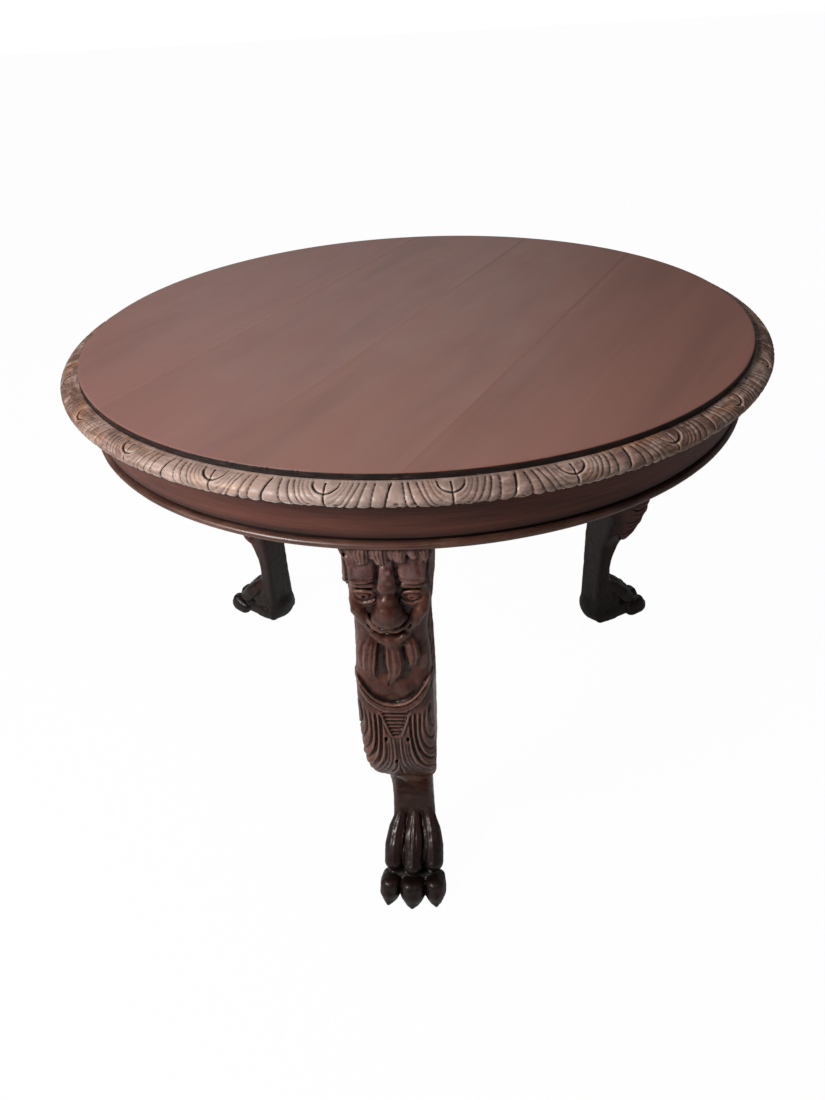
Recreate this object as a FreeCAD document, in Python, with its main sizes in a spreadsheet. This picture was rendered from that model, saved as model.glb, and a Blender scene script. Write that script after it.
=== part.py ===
"""Round table with a carved edge on three carved lion legs.

Millimetres, +Z up. The origin is on the floor at the table's axis, and one leg stands at -Y.
A leg frame has +X pointing outwards from the table's axis, and is turned to each leg's azimuth.
The grain frame has +X along the boards of the top, and is turned by GrainTurn.
"""

import FreeCAD, Part
import os
import re

import Sketcher

# Driving dimensions: name, value in millimetres or degrees, what it is.
SIZES = [
    ("TableHeight", 760, "floor to the top's upper face"),
    ("TopRadius", 507, "radius of the flat plate"),
    ("TopThick", 22, "thickness of the plate's boards"),
    ("SeamPitch", 220, "distance between the seams of the boards"),
    ("GrainTurn", 67, "azimuth of the boards' length"),
    ("TongueThick", 6, "loose tongue in each seam, thickness"),
    ("TongueWide", 18, "loose tongue, width across the seam"),
    ("TongueStop", 5, "end of a tongue short of the moulding's flange"),
    ("RimProjection", 28.5, "carved moulding beyond the plate"),
    ("RimSetdown", 9, "moulding's inner edge below the upper face"),
    ("RimCrown", 12, "moulding's widest line below its inner edge"),
    ("RimDepth", 38, "moulding's lower face below the upper face"),
    ("RimFoot", 4, "moulding's lower face beyond the plate"),
    ("RimLap", 50, "moulding's flange under the plate"),
    ("RimUpperCurve", 26, "radius of the moulding's upper curve"),
    ("RimLowerCurve", 30, "radius of the moulding's lower curve"),
    ("RimSegments", 6, "moulding segments in the ring"),
    ("RimPhase", 1.1, "turn of the moulding's joints from the front leg"),
    ("RimScrewInset", 10, "rim screws from the flange's inner edge"),
    ("RimScrewLong", 30, "length of a rim screw"),
    ("RimScrewTurn", 20, "angle between rim screws"),
    ("ApronSetback", 8, "frieze inside the plate's edge"),
    ("ApronThick", 22, "wall of the frieze ring"),
    ("ApronDrop", 66.5, "height of the frieze ring"),
    ("QuirkHigh", 6, "groove above the bead, height"),
    ("QuirkDeep", 4, "groove above the bead, depth"),
    ("BeadHigh", 9.5, "bead at the foot of the frieze, height"),
    ("BeadProud", 5, "bead beyond the frieze"),
    ("BeadNose", 5.4, "radius of the bead's nose"),
    ("BeadSeat", 10, "depth of the bead's seat in the frieze"),
    ("DowelRadius", 4, "dowels across the joints of the frieze"),
    ("DowelLong", 40, "length of a dowel"),
    ("DowelRise", 16, "dowels above and below the frieze's middle"),
    ("BlockDeep", 20, "rubbed glue block, towards the axis"),
    ("BlockHalf", 25, "rubbed glue block, half its length"),
    ("BlockHigh", 22, "rubbed glue block, height"),
    ("BlockTurn", 46, "glue blocks each side of a leg"),
    ("LegSetback", 7, "leg's shoulder inside the frieze's face"),
    ("PostDeep", 70, "leg's post inside the ring, along its radius"),
    ("PostHalf", 45, "half the post's width"),
    ("BraceThick", 25, "board behind each post"),
    ("BattenThick", 22, "cross batten under the top, thickness"),
    ("BattenWide", 60, "cross batten, width"),
    ("BattenPitch", 250, "distance between battens"),
    ("BattenScrewLong", 34, "length of a batten screw"),
    ("BoltRadius", 5, "hanger bolts in each post"),
    ("BoltSpread", 22, "bolts each side of the leg's middle"),
    ("BoltRise", 30, "bolts above the leg's shoulder"),
    ("BoltBite", 43, "bolt's length inside the post"),
    ("BoltTail", 4, "bolt's end beyond its nut"),
    ("WasherRadius", 12, "washer under each nut"),
    ("WasherThick", 2, "washer's thickness"),
    ("NutHigh", 8, "nut's height"),
    ("NutCorner", 9.8, "nut's corner radius"),
    ("ScrewRadius", 2.2, "wood screw's shank"),
    ("ScrewHead", 4.5, "wood screw's head radius"),
    ("ScrewSink", 2.6, "wood screw's countersink"),
    ("BraceScrewLong", 34, "length of a brace screw"),
    ("BraceScrewTurn", 33, "brace screws each side of a leg"),
    ("BraceScrewRise", 14, "brace screws above and below the middle"),
    ("GlueGap", 0.1, "glue line between curved faces"),
    ("FrameGap", 2, "free height between crossing pieces"),
    ("ToeHigh", 40, "top of a toe above the floor"),
    ("ToeReach", 38, "middle toe beyond the leg's face line"),
    ("ToeShort", 9, "side toes behind the middle toe"),
    ("ToeRoot", 20, "toes start inside the leg's face line"),
    ("ToeLean", 17, "a toe's top behind its foot"),
    ("ToeHalf", 17, "half the width of a toe"),
    ("ToeBlunt", 1.1, "radius of a toe's front over its half width"),
    ("ToeSpread", 31, "side toes from the middle toe"),
    ("MuzzleDrop", 95, "lion's muzzle below the shoulder"),
    ("MuzzleProud", 8, "lion's muzzle beyond the leg's face"),
    ("MuzzleHalf", 30, "half the muzzle's width"),
    ("MuzzleRise", 22, "half the muzzle's height"),
    ("AnkleHigh", 125, "thinnest part of the leg above the floor"),
    ("InstepHigh", 92, "instep above the floor"),
    ("KnuckleHigh", 52, "widest part of the paw above the floor"),
    ("ShankShare", 0.03, "shank's root inside the knee, as a share of the leg"),
    ("ShankInset", 8, "shank's face inside the knee's end"),
]

# Stations of a leg from the shoulder to the knee's end. The place is a share of the length from the
# ankle to the shoulder; then half the width, the face behind the leg's face line, and the depth.
KNEE_STATIONS = [
    ("Shoulder", 1.0, 52, 0, 92),
    ("Brow", 0.88, 53, -3, 96),
    ("Chest", 0.70, 50, -1, 92),
    ("Collar", 0.47, 52, 2, 90),
    ("Knee", 0.30, 49, 5, 88),
    ("KneeEnd", 0.205, 41, 29, 66),
]

# Stations of the shank and the paw: height, half the width, face and depth as above.
PAW_STATIONS = [
    ("Ankle", "AnkleHigh", 32, 65, 34),
    ("Instep", "InstepHigh", 38, 38, 58),
    ("Knuckle", "KnuckleHigh", 46, 10, 96),
    ("Sole", None, 43, 2, 88),
]

LEGS = [("front", -90), ("right", 30), ("left", 150)]

doc = FreeCAD.newDocument("RoundTable")
sheet = doc.addObject("Spreadsheet::Sheet", "Sizes")
aliases = set()
pieces = []


def write_size(name, value, note):
    """Adds one named cell to the sheet."""
    row = len(aliases) + 1
    sheet.set(f"A{row}", note)
    sheet.set(f"B{row}", str(value))
    sheet.setAlias(f"B{row}", name)
    aliases.add(name)


def write_sizes():
    """Fills the sheet with every driving dimension and the leg's stations."""
    for name, value, note in SIZES:
        write_size(name, value, note)
    for name, share, half, face, deep in KNEE_STATIONS:
        write_size(name + "Share", share, "share of the leg from the ankle up")
        write_size(name + "Half", half, "half the leg's width there")
        write_size(name + "Face", face, "face behind the leg's face line")
        write_size(name + "Deep", deep, "depth along the radius")
    for name, _, half, face, deep in PAW_STATIONS:
        write_size(name + "Half", half, "half the leg's width there")
        write_size(name + "Face", face, "face behind the leg's face line")
        write_size(name + "Deep", deep, "depth along the radius")
    doc.recompute()


# Places that several pieces share, worked out from the driving dimensions.
PLACES = {
    "PlateFoot": "(TableHeight - TopThick)",
    "RimSeat": "(TopRadius + GlueGap)",
    "RimInner": "(TopRadius - RimLap)",
    "ApronOuter": "(TopRadius - ApronSetback)",
    "ApronInner": "(TopRadius - ApronSetback - ApronThick)",
    "RingSeat": "(TopRadius - ApronSetback - ApronThick - GlueGap)",
    "ApronTop": "(TableHeight - RimDepth)",
    "ApronFoot": "(TableHeight - RimDepth - ApronDrop)",
    "ApronMiddle": "(TableHeight - RimDepth - ApronDrop / 2)",
    "FrameTop": "(TableHeight - TopThick - BattenThick - FrameGap)",
    "PostBack": "(TopRadius - ApronSetback - ApronThick - PostDeep)",
    "BraceBack": "(TopRadius - ApronSetback - ApronThick - PostDeep - BraceThick)",
    "LegFace": "(TopRadius - ApronSetback - LegSetback)",
    "LegLong": "(TableHeight - RimDepth - ApronDrop - AnkleHigh)",
    "BoltHeight": "(TableHeight - RimDepth - ApronDrop + BoltRise)",
}


def full(text):
    """An expression with the shared places spelled out and the sheet's name before each alias."""
    for name, meaning in PLACES.items():
        text = re.sub(rf"\b{name}\b", meaning, text)
    return re.sub(r"\b[A-Z]\w*\b", lambda m: "Sizes." + m[0] if m[0] in aliases else m[0], text)


def number(text):
    """The value of an expression now."""
    return float(sheet.evalExpression(full(text)))


def bind(item, **properties):
    """Binds properties to expressions; a double underscore stands for a dot."""
    for name, text in properties.items():
        item.setExpression(name.replace("__", "."), full(text))
    return item


def turn(item, angle):
    """Turns a finished piece about the table's axis."""
    item.Placement = FreeCAD.Placement(FreeCAD.Vector(), FreeCAD.Rotation(FreeCAD.Vector(0, 0, 1), 1))
    return bind(item, Placement__Rotation__Angle=angle)


def piece(item, node):
    """Names a finished sub-part after its node and keeps it for the export."""
    item.Label = node
    pieces.append(item)
    return item


# Primitives, booleans and copies


def box(name, low, long, wide, high):
    """A box from its low corner and its three sizes, all expressions."""
    item = doc.addObject("Part::Box", name)
    bind(item, Length=long, Width=wide, Height=high)
    x, y, z = low
    return bind(item, Placement__Base__x=x, Placement__Base__y=y, Placement__Base__z=z)


def rod(name, radius, long):
    """A cylinder standing on the origin along +Z."""
    return bind(doc.addObject("Part::Cylinder", name), Radius=radius, Height=long)


def cut(name, base, tool):
    item = doc.addObject("Part::Cut", name)
    item.Base = base
    item.Tool = tool
    return item


def group(name, members):
    item = doc.addObject("Part::Compound", name)
    item.Links = members
    return item


def copy(name, target, x="0", y="0", z="0", axis=(0, 0, 1), degrees=0):
    """A linked copy at a place, turned about an axis."""
    item = doc.addObject("App::Link", name)
    item.LinkedObject = target
    turned = FreeCAD.Rotation(FreeCAD.Vector(*axis), degrees)
    item.Placement = FreeCAD.Placement(FreeCAD.Vector(), turned)
    return bind(item, Placement__Base__x=x, Placement__Base__y=y, Placement__Base__z=z)


def ring_copy(name, target, angle):
    """A linked copy turned about the table's axis."""
    item = doc.addObject("App::Link", name)
    item.LinkedObject = target
    return turn(item, angle)


def wood_screw(name, long, fit):
    """A countersunk screw along +Z from its head's face, or its hole where fit isn't 0."""
    shank = rod(name + "_shank", f"ScrewRadius + {fit}", f"{long} + {fit}")
    head = doc.addObject("Part::Cone", name + "_head")
    bind(head, Radius1=f"ScrewHead + {fit}", Radius2=f"ScrewRadius + {fit}", Height="ScrewSink")
    item = doc.addObject("Part::Fuse", name)
    item.Base = shank
    item.Tool = head
    return item


# Sketches and bodies


def plane_sketch(body, name, role, lift=None):
    """A sketch on one of the body's own planes, raised along its normal."""
    sketch = body.newObject("Sketcher::SketchObject", name)
    plane = next(f for f in body.Origin.OriginFeatures if f.Role == role)
    sketch.AttachmentSupport = (plane, "")
    sketch.MapMode = "FlatFace"
    if lift:
        bind(sketch, AttachmentOffset__Base__z=lift)
    return sketch


def arc_through(start, end, radius):
    """The shorter arc between two points whose centre is on the left of the way."""
    way = end - start
    left = FreeCAD.Vector(-way.y, way.x, 0).normalize()
    reach = (radius**2 - way.Length**2 / 4) ** 0.5
    middle = (start + end) / 2 + left * (reach - radius)
    return Part.Arc(start, middle, end)


def outline(sketch, corners, curves=None):
    """Closes an outline through corners; curves gives the radius of each side that is an arc."""
    curves = curves or {}
    points = [FreeCAD.Vector(number(x), number(y), 0) for x, y in corners]
    count = len(points)
    for i, start in enumerate(points):
        end = points[(i + 1) % count]
        if i in curves:
            sketch.addGeometry(arc_through(start, end, number(curves[i])), False)
        else:
            sketch.addGeometry(Part.LineSegment(start, end), False)
    for i in range(count):
        sketch.addConstraint(Sketcher.Constraint("Coincident", i, 2, (i + 1) % count, 1))
    for i, (x, y) in enumerate(corners):
        for kind, text, value in (("DistanceX", x, points[i].x), ("DistanceY", y, points[i].y)):
            place = sketch.addConstraint(Sketcher.Constraint(kind, -1, 1, i, 1, value))
            sketch.setExpression(f"Constraints[{place}]", full(text))
    for i, text in curves.items():
        place = sketch.addConstraint(Sketcher.Constraint("Radius", i, number(text)))
        sketch.setExpression(f"Constraints[{place}]", full(text))
    return sketch


def ring_body(name, corners, curves, angle):
    """A body turned about the table's axis, half to each side of +X; corners are (radius, height)."""
    body = doc.addObject("PartDesign::Body", name)
    sketch = outline(plane_sketch(body, name + "_profile", "XZ_Plane"), corners, curves)
    sweep = body.newObject("PartDesign::Revolution", name + "_sweep")
    sweep.Profile = sketch
    sweep.ReferenceAxis = (sketch, ["V_Axis"])
    sweep.Midplane = True
    bind(sweep, Angle=angle)
    sketch.Visibility = False
    return body


def pad_body(name, corners, curves, foot, high):
    """A body padded upwards from an outline in plan."""
    body = doc.addObject("PartDesign::Body", name)
    sketch = outline(plane_sketch(body, name + "_plan", "XY_Plane", foot), corners, curves)
    pad = body.newObject("PartDesign::Pad", name + "_pad")
    pad.Profile = sketch
    bind(pad, Length=high)
    return body


def mirrored_corners(back, front, half_back, half_front):
    """Four corners, symmetrical about the leg frame's X axis, counter-clockwise."""
    return [
        (back, f"-({half_back})"),
        (front, f"-({half_front})"),
        (front, half_front),
        (back, half_back),
    ]


# The top


def make_top():
    """Boards of the plate, edge to edge, with a loose tongue in each seam."""
    plate = rod("plate", "TopRadius", "TopThick")
    bind(plate, Placement__Base__z="PlateFoot")
    grooves = []
    for i in (-1, 0, 1):
        half = f"(sqrt(RimInner^2 - ({abs(i)} * SeamPitch + TongueWide / 2)^2) - TongueStop)"
        foot = "PlateFoot + (TopThick - TongueThick) / 2"
        low = (f"-{half}", f"SeamPitch * {i} - TongueWide / 2", foot)
        tongue = box(f"tongue_{i + 2}", low, f"2 * {half}", "TongueWide", "TongueThick")
        piece(turn(group(f"tongue_piece_{i + 2}", [tongue]), "GrainTurn"), f"top_tongue_{i + 2}")
        low = (low[0], low[1] + " - GlueGap", low[2] + " - GlueGap")
        sizes = (f"2 * {half}", "TongueWide + 2 * GlueGap", "TongueThick + 2 * GlueGap")
        grooves.append(box(f"groove_{i + 2}", low, *sizes))
    screw_holes = [batten_screws("GlueGap"), rim_screws("GlueGap", "RimPhase - GrainTurn")]
    tools = group("plate_tools", grooves + screw_holes)
    edges = ["-TopRadius", "-SeamPitch", "0", "SeamPitch", "TopRadius"]
    for i in range(4):
        low = ("-TopRadius", edges[i], "PlateFoot")
        strip = box(f"strip_{i + 1}", low, "2 * TopRadius", f"{edges[i + 1]} - ({edges[i]})", "TopThick")
        blank = doc.addObject("Part::Common", f"board_blank_{i + 1}")
        blank.Base = plate
        blank.Tool = strip
        board = cut(f"board_{i + 1}", blank, tools)
        piece(turn(board, "GrainTurn"), f"top_board_{i + 1}")


def batten_half(i):
    """Half the length of a batten: it ends inside the moulding's flange."""
    inside = "(RimInner - FrameGap)"
    return f"sqrt({inside}^2 - ({abs(i)} * BattenPitch + BattenWide / 2)^2)"


def batten_screws(fit):
    """Screws up through each batten into each board, in the grain frame."""
    name = "batten_screw" if fit == "0" else "batten_screw_hole"
    screw = wood_screw(name, "BattenScrewLong", fit)
    members = []
    for i in (-1, 0, 1):
        for side in (-1, 1):
            for k, across in enumerate(("SeamPitch / 2", f"(SeamPitch + {batten_half(i)}) / 2")):
                member = f"{name}_{i + 2}_{k * 2 + (side > 0)}"
                place = (f"{i} * BattenPitch", f"{side} * {across}", "PlateFoot - BattenThick")
                members.append(copy(member, screw, *place))
    return group(name + "s", members)


def make_battens():
    """Battens across the boards, which keep the plate flat, and their screws."""
    holes = doc.getObject("batten_screw_holes")
    for i in (-1, 0, 1):
        half = batten_half(i)
        low = (f"{i} * BattenPitch - BattenWide / 2", f"-{half}", "PlateFoot - BattenThick")
        blank = box(f"batten_blank_{i + 2}", low, "BattenWide", f"2 * {half}", "BattenThick")
        piece(turn(cut(f"batten_{i + 2}", blank, holes), "GrainTurn"), f"top_batten_{i + 2}")
    piece(turn(batten_screws("0"), "GrainTurn"), "batten_screws")


# The carved edge moulding


def rim_screws(fit, phase):
    """Screws up through the moulding's flange into the plate."""
    name = "rim_screw" if fit == "0" else "rim_screw_hole"
    screw = wood_screw(name, "RimScrewLong", fit)
    seat = group(name + "_seat", [copy(name + "_first", screw, x="RimInner + RimScrewInset", z="ApronTop")])
    members = []
    for k in range(round(number("RimSegments"))):
        for j in (-1, 0, 1):
            angle = f"-90 + {phase} + {k + 0.5} * 360 / RimSegments + {j} * RimScrewTurn"
            members.append(ring_copy(f"{name}_{k + 1}_{j + 2}", seat, angle))
    return group(name + "s", members)


def make_rim():
    """Moulding segments round the plate's edge, with a flange under the plate."""
    corners = [
        ("RimSeat", "TableHeight - RimSetdown"),
        ("RimSeat", "PlateFoot"),
        ("RimInner", "PlateFoot"),
        ("RimInner", "ApronTop"),
        ("TopRadius + RimFoot", "ApronTop"),
        ("TopRadius + RimProjection", "TableHeight - RimSetdown - RimCrown"),
    ]
    curves = {4: "RimLowerCurve", 5: "RimUpperCurve"}
    count = round(number("RimSegments"))
    holes = rim_hole_tool()
    for k in range(count):
        blank = ring_body(f"rim_blank_{k + 1}", corners, curves, "360 / RimSegments")
        segment = cut(f"rim_{k + 1}", blank, holes)
        piece(turn(segment, f"-90 + RimPhase + {k + 0.5} * 360 / RimSegments"), f"rim_moulding_{k + 1}")
    piece(rim_screws("0", "RimPhase"), "rim_screws")


def rim_hole_tool():
    """The three screw holes of one segment, about +X."""
    seat = doc.getObject("rim_screw_hole_seat")
    turned = [ring_copy(f"rim_hole_{j + 2}", seat, f"{j} * RimScrewTurn") for j in (-1, 0, 1)]
    return group("rim_hole_tool", turned)


# The frieze ring


def make_frieze():
    """Three frieze segments that meet at the legs, doweled together, and the bead below them."""
    bead_top = "ApronFoot + BeadHigh"
    corners = [
        ("ApronInner", "ApronFoot"),
        ("ApronOuter - BeadSeat", "ApronFoot"),
        ("ApronOuter - BeadSeat", bead_top),
        ("ApronOuter - QuirkDeep", bead_top),
        ("ApronOuter - QuirkDeep", bead_top + " + QuirkHigh"),
        ("ApronOuter", bead_top + " + QuirkHigh"),
        ("ApronOuter", "ApronTop"),
        ("ApronInner", "ApronTop"),
    ]
    nose = "ApronOuter + BeadProud - (BeadNose - sqrt(BeadNose^2 - BeadHigh^2 / 4))"
    bead_corners = [
        ("ApronOuter - BeadSeat + GlueGap", "ApronFoot"),
        (nose, "ApronFoot"),
        (nose, bead_top),
        ("ApronOuter - BeadSeat + GlueGap", bead_top),
    ]
    screw_holes = at_legs("frieze_screw_holes", doc.getObject("brace_screw_hole_ends"))
    holes = group("frieze_holes", [dowels("GlueGap"), screw_holes])
    for k in range(3):
        middle = 120 * k - 30
        blank = ring_body(f"apron_blank_{k + 1}", corners, {}, "120")
        turn(blank, str(middle))
        piece(cut(f"apron_{k + 1}", blank, holes), f"apron_segment_{k + 1}")
        bead = ring_body(f"bead_{k + 1}", bead_corners, {1: "BeadNose"}, "120")
        piece(turn(bead, str(middle)), f"bead_segment_{k + 1}")
    piece(dowels("0"), "apron_dowels")


def dowels(fit):
    """Two dowels across each joint of the frieze ring."""
    name = "dowel" if fit == "0" else "dowel_hole"
    one = rod(name, f"DowelRadius + {fit}", f"DowelLong + 2 * {fit}")
    pair = []
    for side in (-1, 1):
        place = {"x": "ApronOuter - ApronThick / 2", "y": f"DowelLong / 2 + {fit}"}
        place["z"] = f"ApronMiddle + {side} * DowelRise"
        pair.append(copy(f"{name}_{side + 2}", one, axis=(1, 0, 0), degrees=90, **place))
    both = group(name + "_pair", pair)
    return group(name + "s", [ring_copy(f"{name}s_{leg}", both, str(angle)) for leg, angle in LEGS])


def make_blocks():
    """Rubbed glue blocks in the corner of the frieze ring and the moulding's flange."""
    reach = "sqrt(RingSeat^2 - BlockHalf^2)"
    corners = mirrored_corners("ApronInner - BlockDeep", reach, "BlockHalf", "BlockHalf")
    count = 0
    for leg, angle in LEGS:
        for side in (-1, 1):
            count += 1
            foot = "ApronTop - BlockHigh"
            body = pad_body(f"block_{count}", corners, {1: "RingSeat"}, foot, "BlockHigh")
            piece(turn(body, f"{angle} + {side} * BlockTurn"), f"glue_block_{count}")


# The legs and what holds them


def station_sketch(body, name, height):
    """A leg's rectangular section at one station."""
    face = f"LegFace - {name}Face"
    half = f"{name}Half"
    sketch = plane_sketch(body, f"{body.Name}_{name}", "XY_Plane", height)
    return outline(sketch, mirrored_corners(f"{face} - {name}Deep", face, half, half))


def loft(body, name, sections):
    item = body.newObject("PartDesign::AdditiveLoft", f"{body.Name}_{name}")
    item.Profile = sections[0]
    item.Sections = sections[1:]
    return item


def toe(body, name, y, back):
    """A toe that rests on the floor, its front rounded in plan and leaning back as it rises."""
    front = f"LegFace + ToeReach - {back}"
    sections = []
    levels = [("foot", None, "ToeHalf", "0"), ("top", "ToeHigh", "ToeHalf / 2", "ToeLean")]
    for level, lift, half, lean in levels:
        sketch = plane_sketch(body, f"{body.Name}_{name}_{level}", "XY_Plane", lift)
        low, high = f"{y} - {half}", f"{y} + {half}"
        root = f"LegFace - ToeRoot - {lean}"
        tip = f"{front} - {lean} - {half}"
        outline(sketch, [(root, low), (tip, low), (tip, high), (root, high)], {1: f"ToeBlunt * {half}"})
        sections.append(sketch)
    loft(body, name, sections)


def muzzle(body):
    """The lion's muzzle: a blunt block that narrows as it stands out of the leg's face."""
    sections = []
    for level, out, half, rise in (
        ("root", "LegFace - MuzzleProud", "MuzzleHalf", "MuzzleRise"),
        ("tip", "LegFace + MuzzleProud", "MuzzleHalf - MuzzleProud", "MuzzleRise - MuzzleProud"),
    ):
        sketch = plane_sketch(body, f"{body.Name}_muzzle_{level}", "YZ_Plane", out)
        low, high = f"ApronFoot - MuzzleDrop - {rise}", f"ApronFoot - MuzzleDrop + {rise}"
        corners = [(f"-({half})", low), (half, low), (half, high), (f"-({half})", high)]
        sections.append(outline(sketch, corners))
    loft(body, "muzzle", sections)


def leg_body(leg):
    """A carved leg in one length of wood: knee, shank and paw, with a post that stands in the ring."""
    body = doc.addObject("PartDesign::Body", f"leg_{leg}_blank")
    knee = [
        station_sketch(body, name, f"AnkleHigh + {name}Share * LegLong")
        for name, *_ in KNEE_STATIONS
    ]
    height = "AnkleHigh + (KneeEndShare + ShankShare) * LegLong"
    shank_top = plane_sketch(body, f"{body.Name}_ShankTop", "XY_Plane", height)
    face = "LegFace - KneeEndFace - ShankInset"
    outline(shank_top, mirrored_corners("LegFace - AnkleFace - AnkleDeep", face, "AnkleHalf", "AnkleHalf"))
    paw = [station_sketch(body, name, height) for name, height, *_ in PAW_STATIONS]
    loft(body, "knee", knee)
    loft(body, "shank", [shank_top, paw[0]])
    loft(body, "paw", paw)
    post = plane_sketch(body, f"{body.Name}_post_plan", "XY_Plane", "ApronFoot - FrameGap")
    reach = "sqrt(RingSeat^2 - PostHalf^2)"
    outline(post, mirrored_corners("PostBack", reach, "PostHalf", "PostHalf"), {1: "RingSeat"})
    pad = body.newObject("PartDesign::Pad", f"{body.Name}_post")
    pad.Profile = post
    bind(pad, Length="FrameTop - ApronFoot + FrameGap")
    toe(body, "middle_toe", "0", "0")
    toe(body, "one_toe", "ToeSpread", "ToeShort")
    toe(body, "other_toe", "-ToeSpread", "ToeShort")
    muzzle(body)
    return body


def bolt_rods(name, radius, start, end):
    """Two rods along a leg's radius, at the bolts' places."""
    one = rod(name, radius, f"{end} - ({start})")
    return [
        copy(f"{name}_{side + 2}", one, start, f"{side} * BoltSpread", "BoltHeight", (0, 1, 0), 90)
        for side in (-1, 1)
    ]


def make_legs():
    """Legs, each bolted through its post to a brace board that closes a corner of the ring."""
    bolt_end = "PostBack + BoltBite"
    bolt_tail = "BraceBack - WasherThick - NutHigh - BoltTail"
    post_holes = group("post_holes", bolt_rods("post_hole", "BoltRadius + GlueGap", "PostBack", bolt_end))
    brace_bolt_holes = bolt_rods("brace_hole", "BoltRadius + 2 * GlueGap", "BraceBack", "PostBack")
    brace_holes = group("brace_holes", brace_bolt_holes + [brace_screws("GlueGap")])
    reach = {name: f"sqrt(RingSeat^2 - {name}^2)" for name in ("BraceBack", "PostBack")}
    corners = mirrored_corners("BraceBack", "PostBack", reach["BraceBack"], reach["PostBack"])
    curves = {0: "RingSeat", 2: "RingSeat"}
    for leg, angle in LEGS:
        holed = cut(f"leg_{leg}_bored", leg_body(leg), post_holes)
        piece(turn(holed, str(angle)), f"leg_{leg}")
        foot = "ApronFoot + FrameGap"
        blank = pad_body(f"brace_{leg}_blank", corners, curves, foot, f"FrameTop - ({foot})")
        piece(turn(cut(f"brace_{leg}", blank, brace_holes), str(angle)), f"leg_brace_{leg}")
    bolts = group("bolt_pair", bolt_rods("bolt", "BoltRadius", bolt_tail, bolt_end))
    piece(at_legs("bolts", bolts), "leg_bolts")
    piece(at_legs("washers", washer_pair()), "bolt_washers")
    piece(at_legs("nuts", nut_pair()), "bolt_nuts")
    piece(at_legs("brace_screws_all", brace_screws("0")), "brace_screws")


def at_legs(name, item):
    """Copies of a group at the three legs."""
    return group(name, [ring_copy(f"{name}_{leg}", item, str(angle)) for leg, angle in LEGS])


def washer_pair():
    disc = rod("washer_disc", "WasherRadius", "WasherThick")
    washer = cut("washer", disc, rod("washer_bore", "BoltRadius + 2 * GlueGap", "WasherThick"))
    return pair_behind_brace("washer", washer, "WasherThick")


def nut_pair():
    prism = doc.addObject("Part::Prism", "nut_prism")
    prism.Polygon = 6
    bind(prism, Circumradius="NutCorner", Height="NutHigh")
    nut = cut("nut", prism, rod("nut_bore", "BoltRadius + GlueGap", "NutHigh"))
    return pair_behind_brace("nut", nut, "WasherThick + NutHigh")


def pair_behind_brace(name, item, behind):
    """Two copies on the bolts, starting a distance behind the brace."""
    start = f"BraceBack - ({behind})"
    pair = [
        copy(f"{name}_{side + 2}", item, start, f"{side} * BoltSpread", "BoltHeight", (0, 1, 0), 90)
        for side in (-1, 1)
    ]
    return group(name + "_pair", pair)


def brace_screws(fit):
    """Two screws at each end of a brace, driven along the ring's radius into the frieze."""
    name = "brace_screw" if fit == "0" else "brace_screw_hole"
    screw = wood_screw(name, "BraceScrewLong", fit)
    start = "BraceBack / cos(BraceScrewTurn) + ScrewHead"
    seats = [
        copy(f"{name}_{rise + 2}", screw, start, "0", f"ApronMiddle + {rise} * BraceScrewRise", (0, 1, 0), 90)
        for rise in (-1, 1)
    ]
    seat = group(name + "_seat", seats)
    ends = [ring_copy(f"{name}_end_{side + 2}", seat, f"{side} * BraceScrewTurn") for side in (-1, 1)]
    return group(name + "_ends", ends)


def check_document():
    """Stops if any object failed or any sub-part is empty or broken."""
    doc.recompute()
    broken = [o.Name for o in doc.Objects if "Invalid" in o.State or "Error" in o.State]
    for item in pieces:
        shape = Part.getShape(item)
        if shape.isNull() or not shape.isValid() or not shape.Solids:
            broken.append(item.Label)
    if broken:
        raise RuntimeError("failed: " + ", ".join(broken))


write_sizes()
make_top()
make_battens()
make_rim()
make_legs()
make_frieze()
make_blocks()
check_document()
os.makedirs("parts", exist_ok=True)
for item in pieces:
    Part.getShape(item).exportStep(f"parts/{item.Label}.step")
    print(item.Label, len(Part.getShape(item).Solids), round(Part.getShape(item).Volume / 1000, 1))
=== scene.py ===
"""Looks of the round table: boarded top, carved edge, plain frieze and three carved lion legs."""

import math

import bpy
import numpy as np
from mathutils import Matrix, Vector


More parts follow.
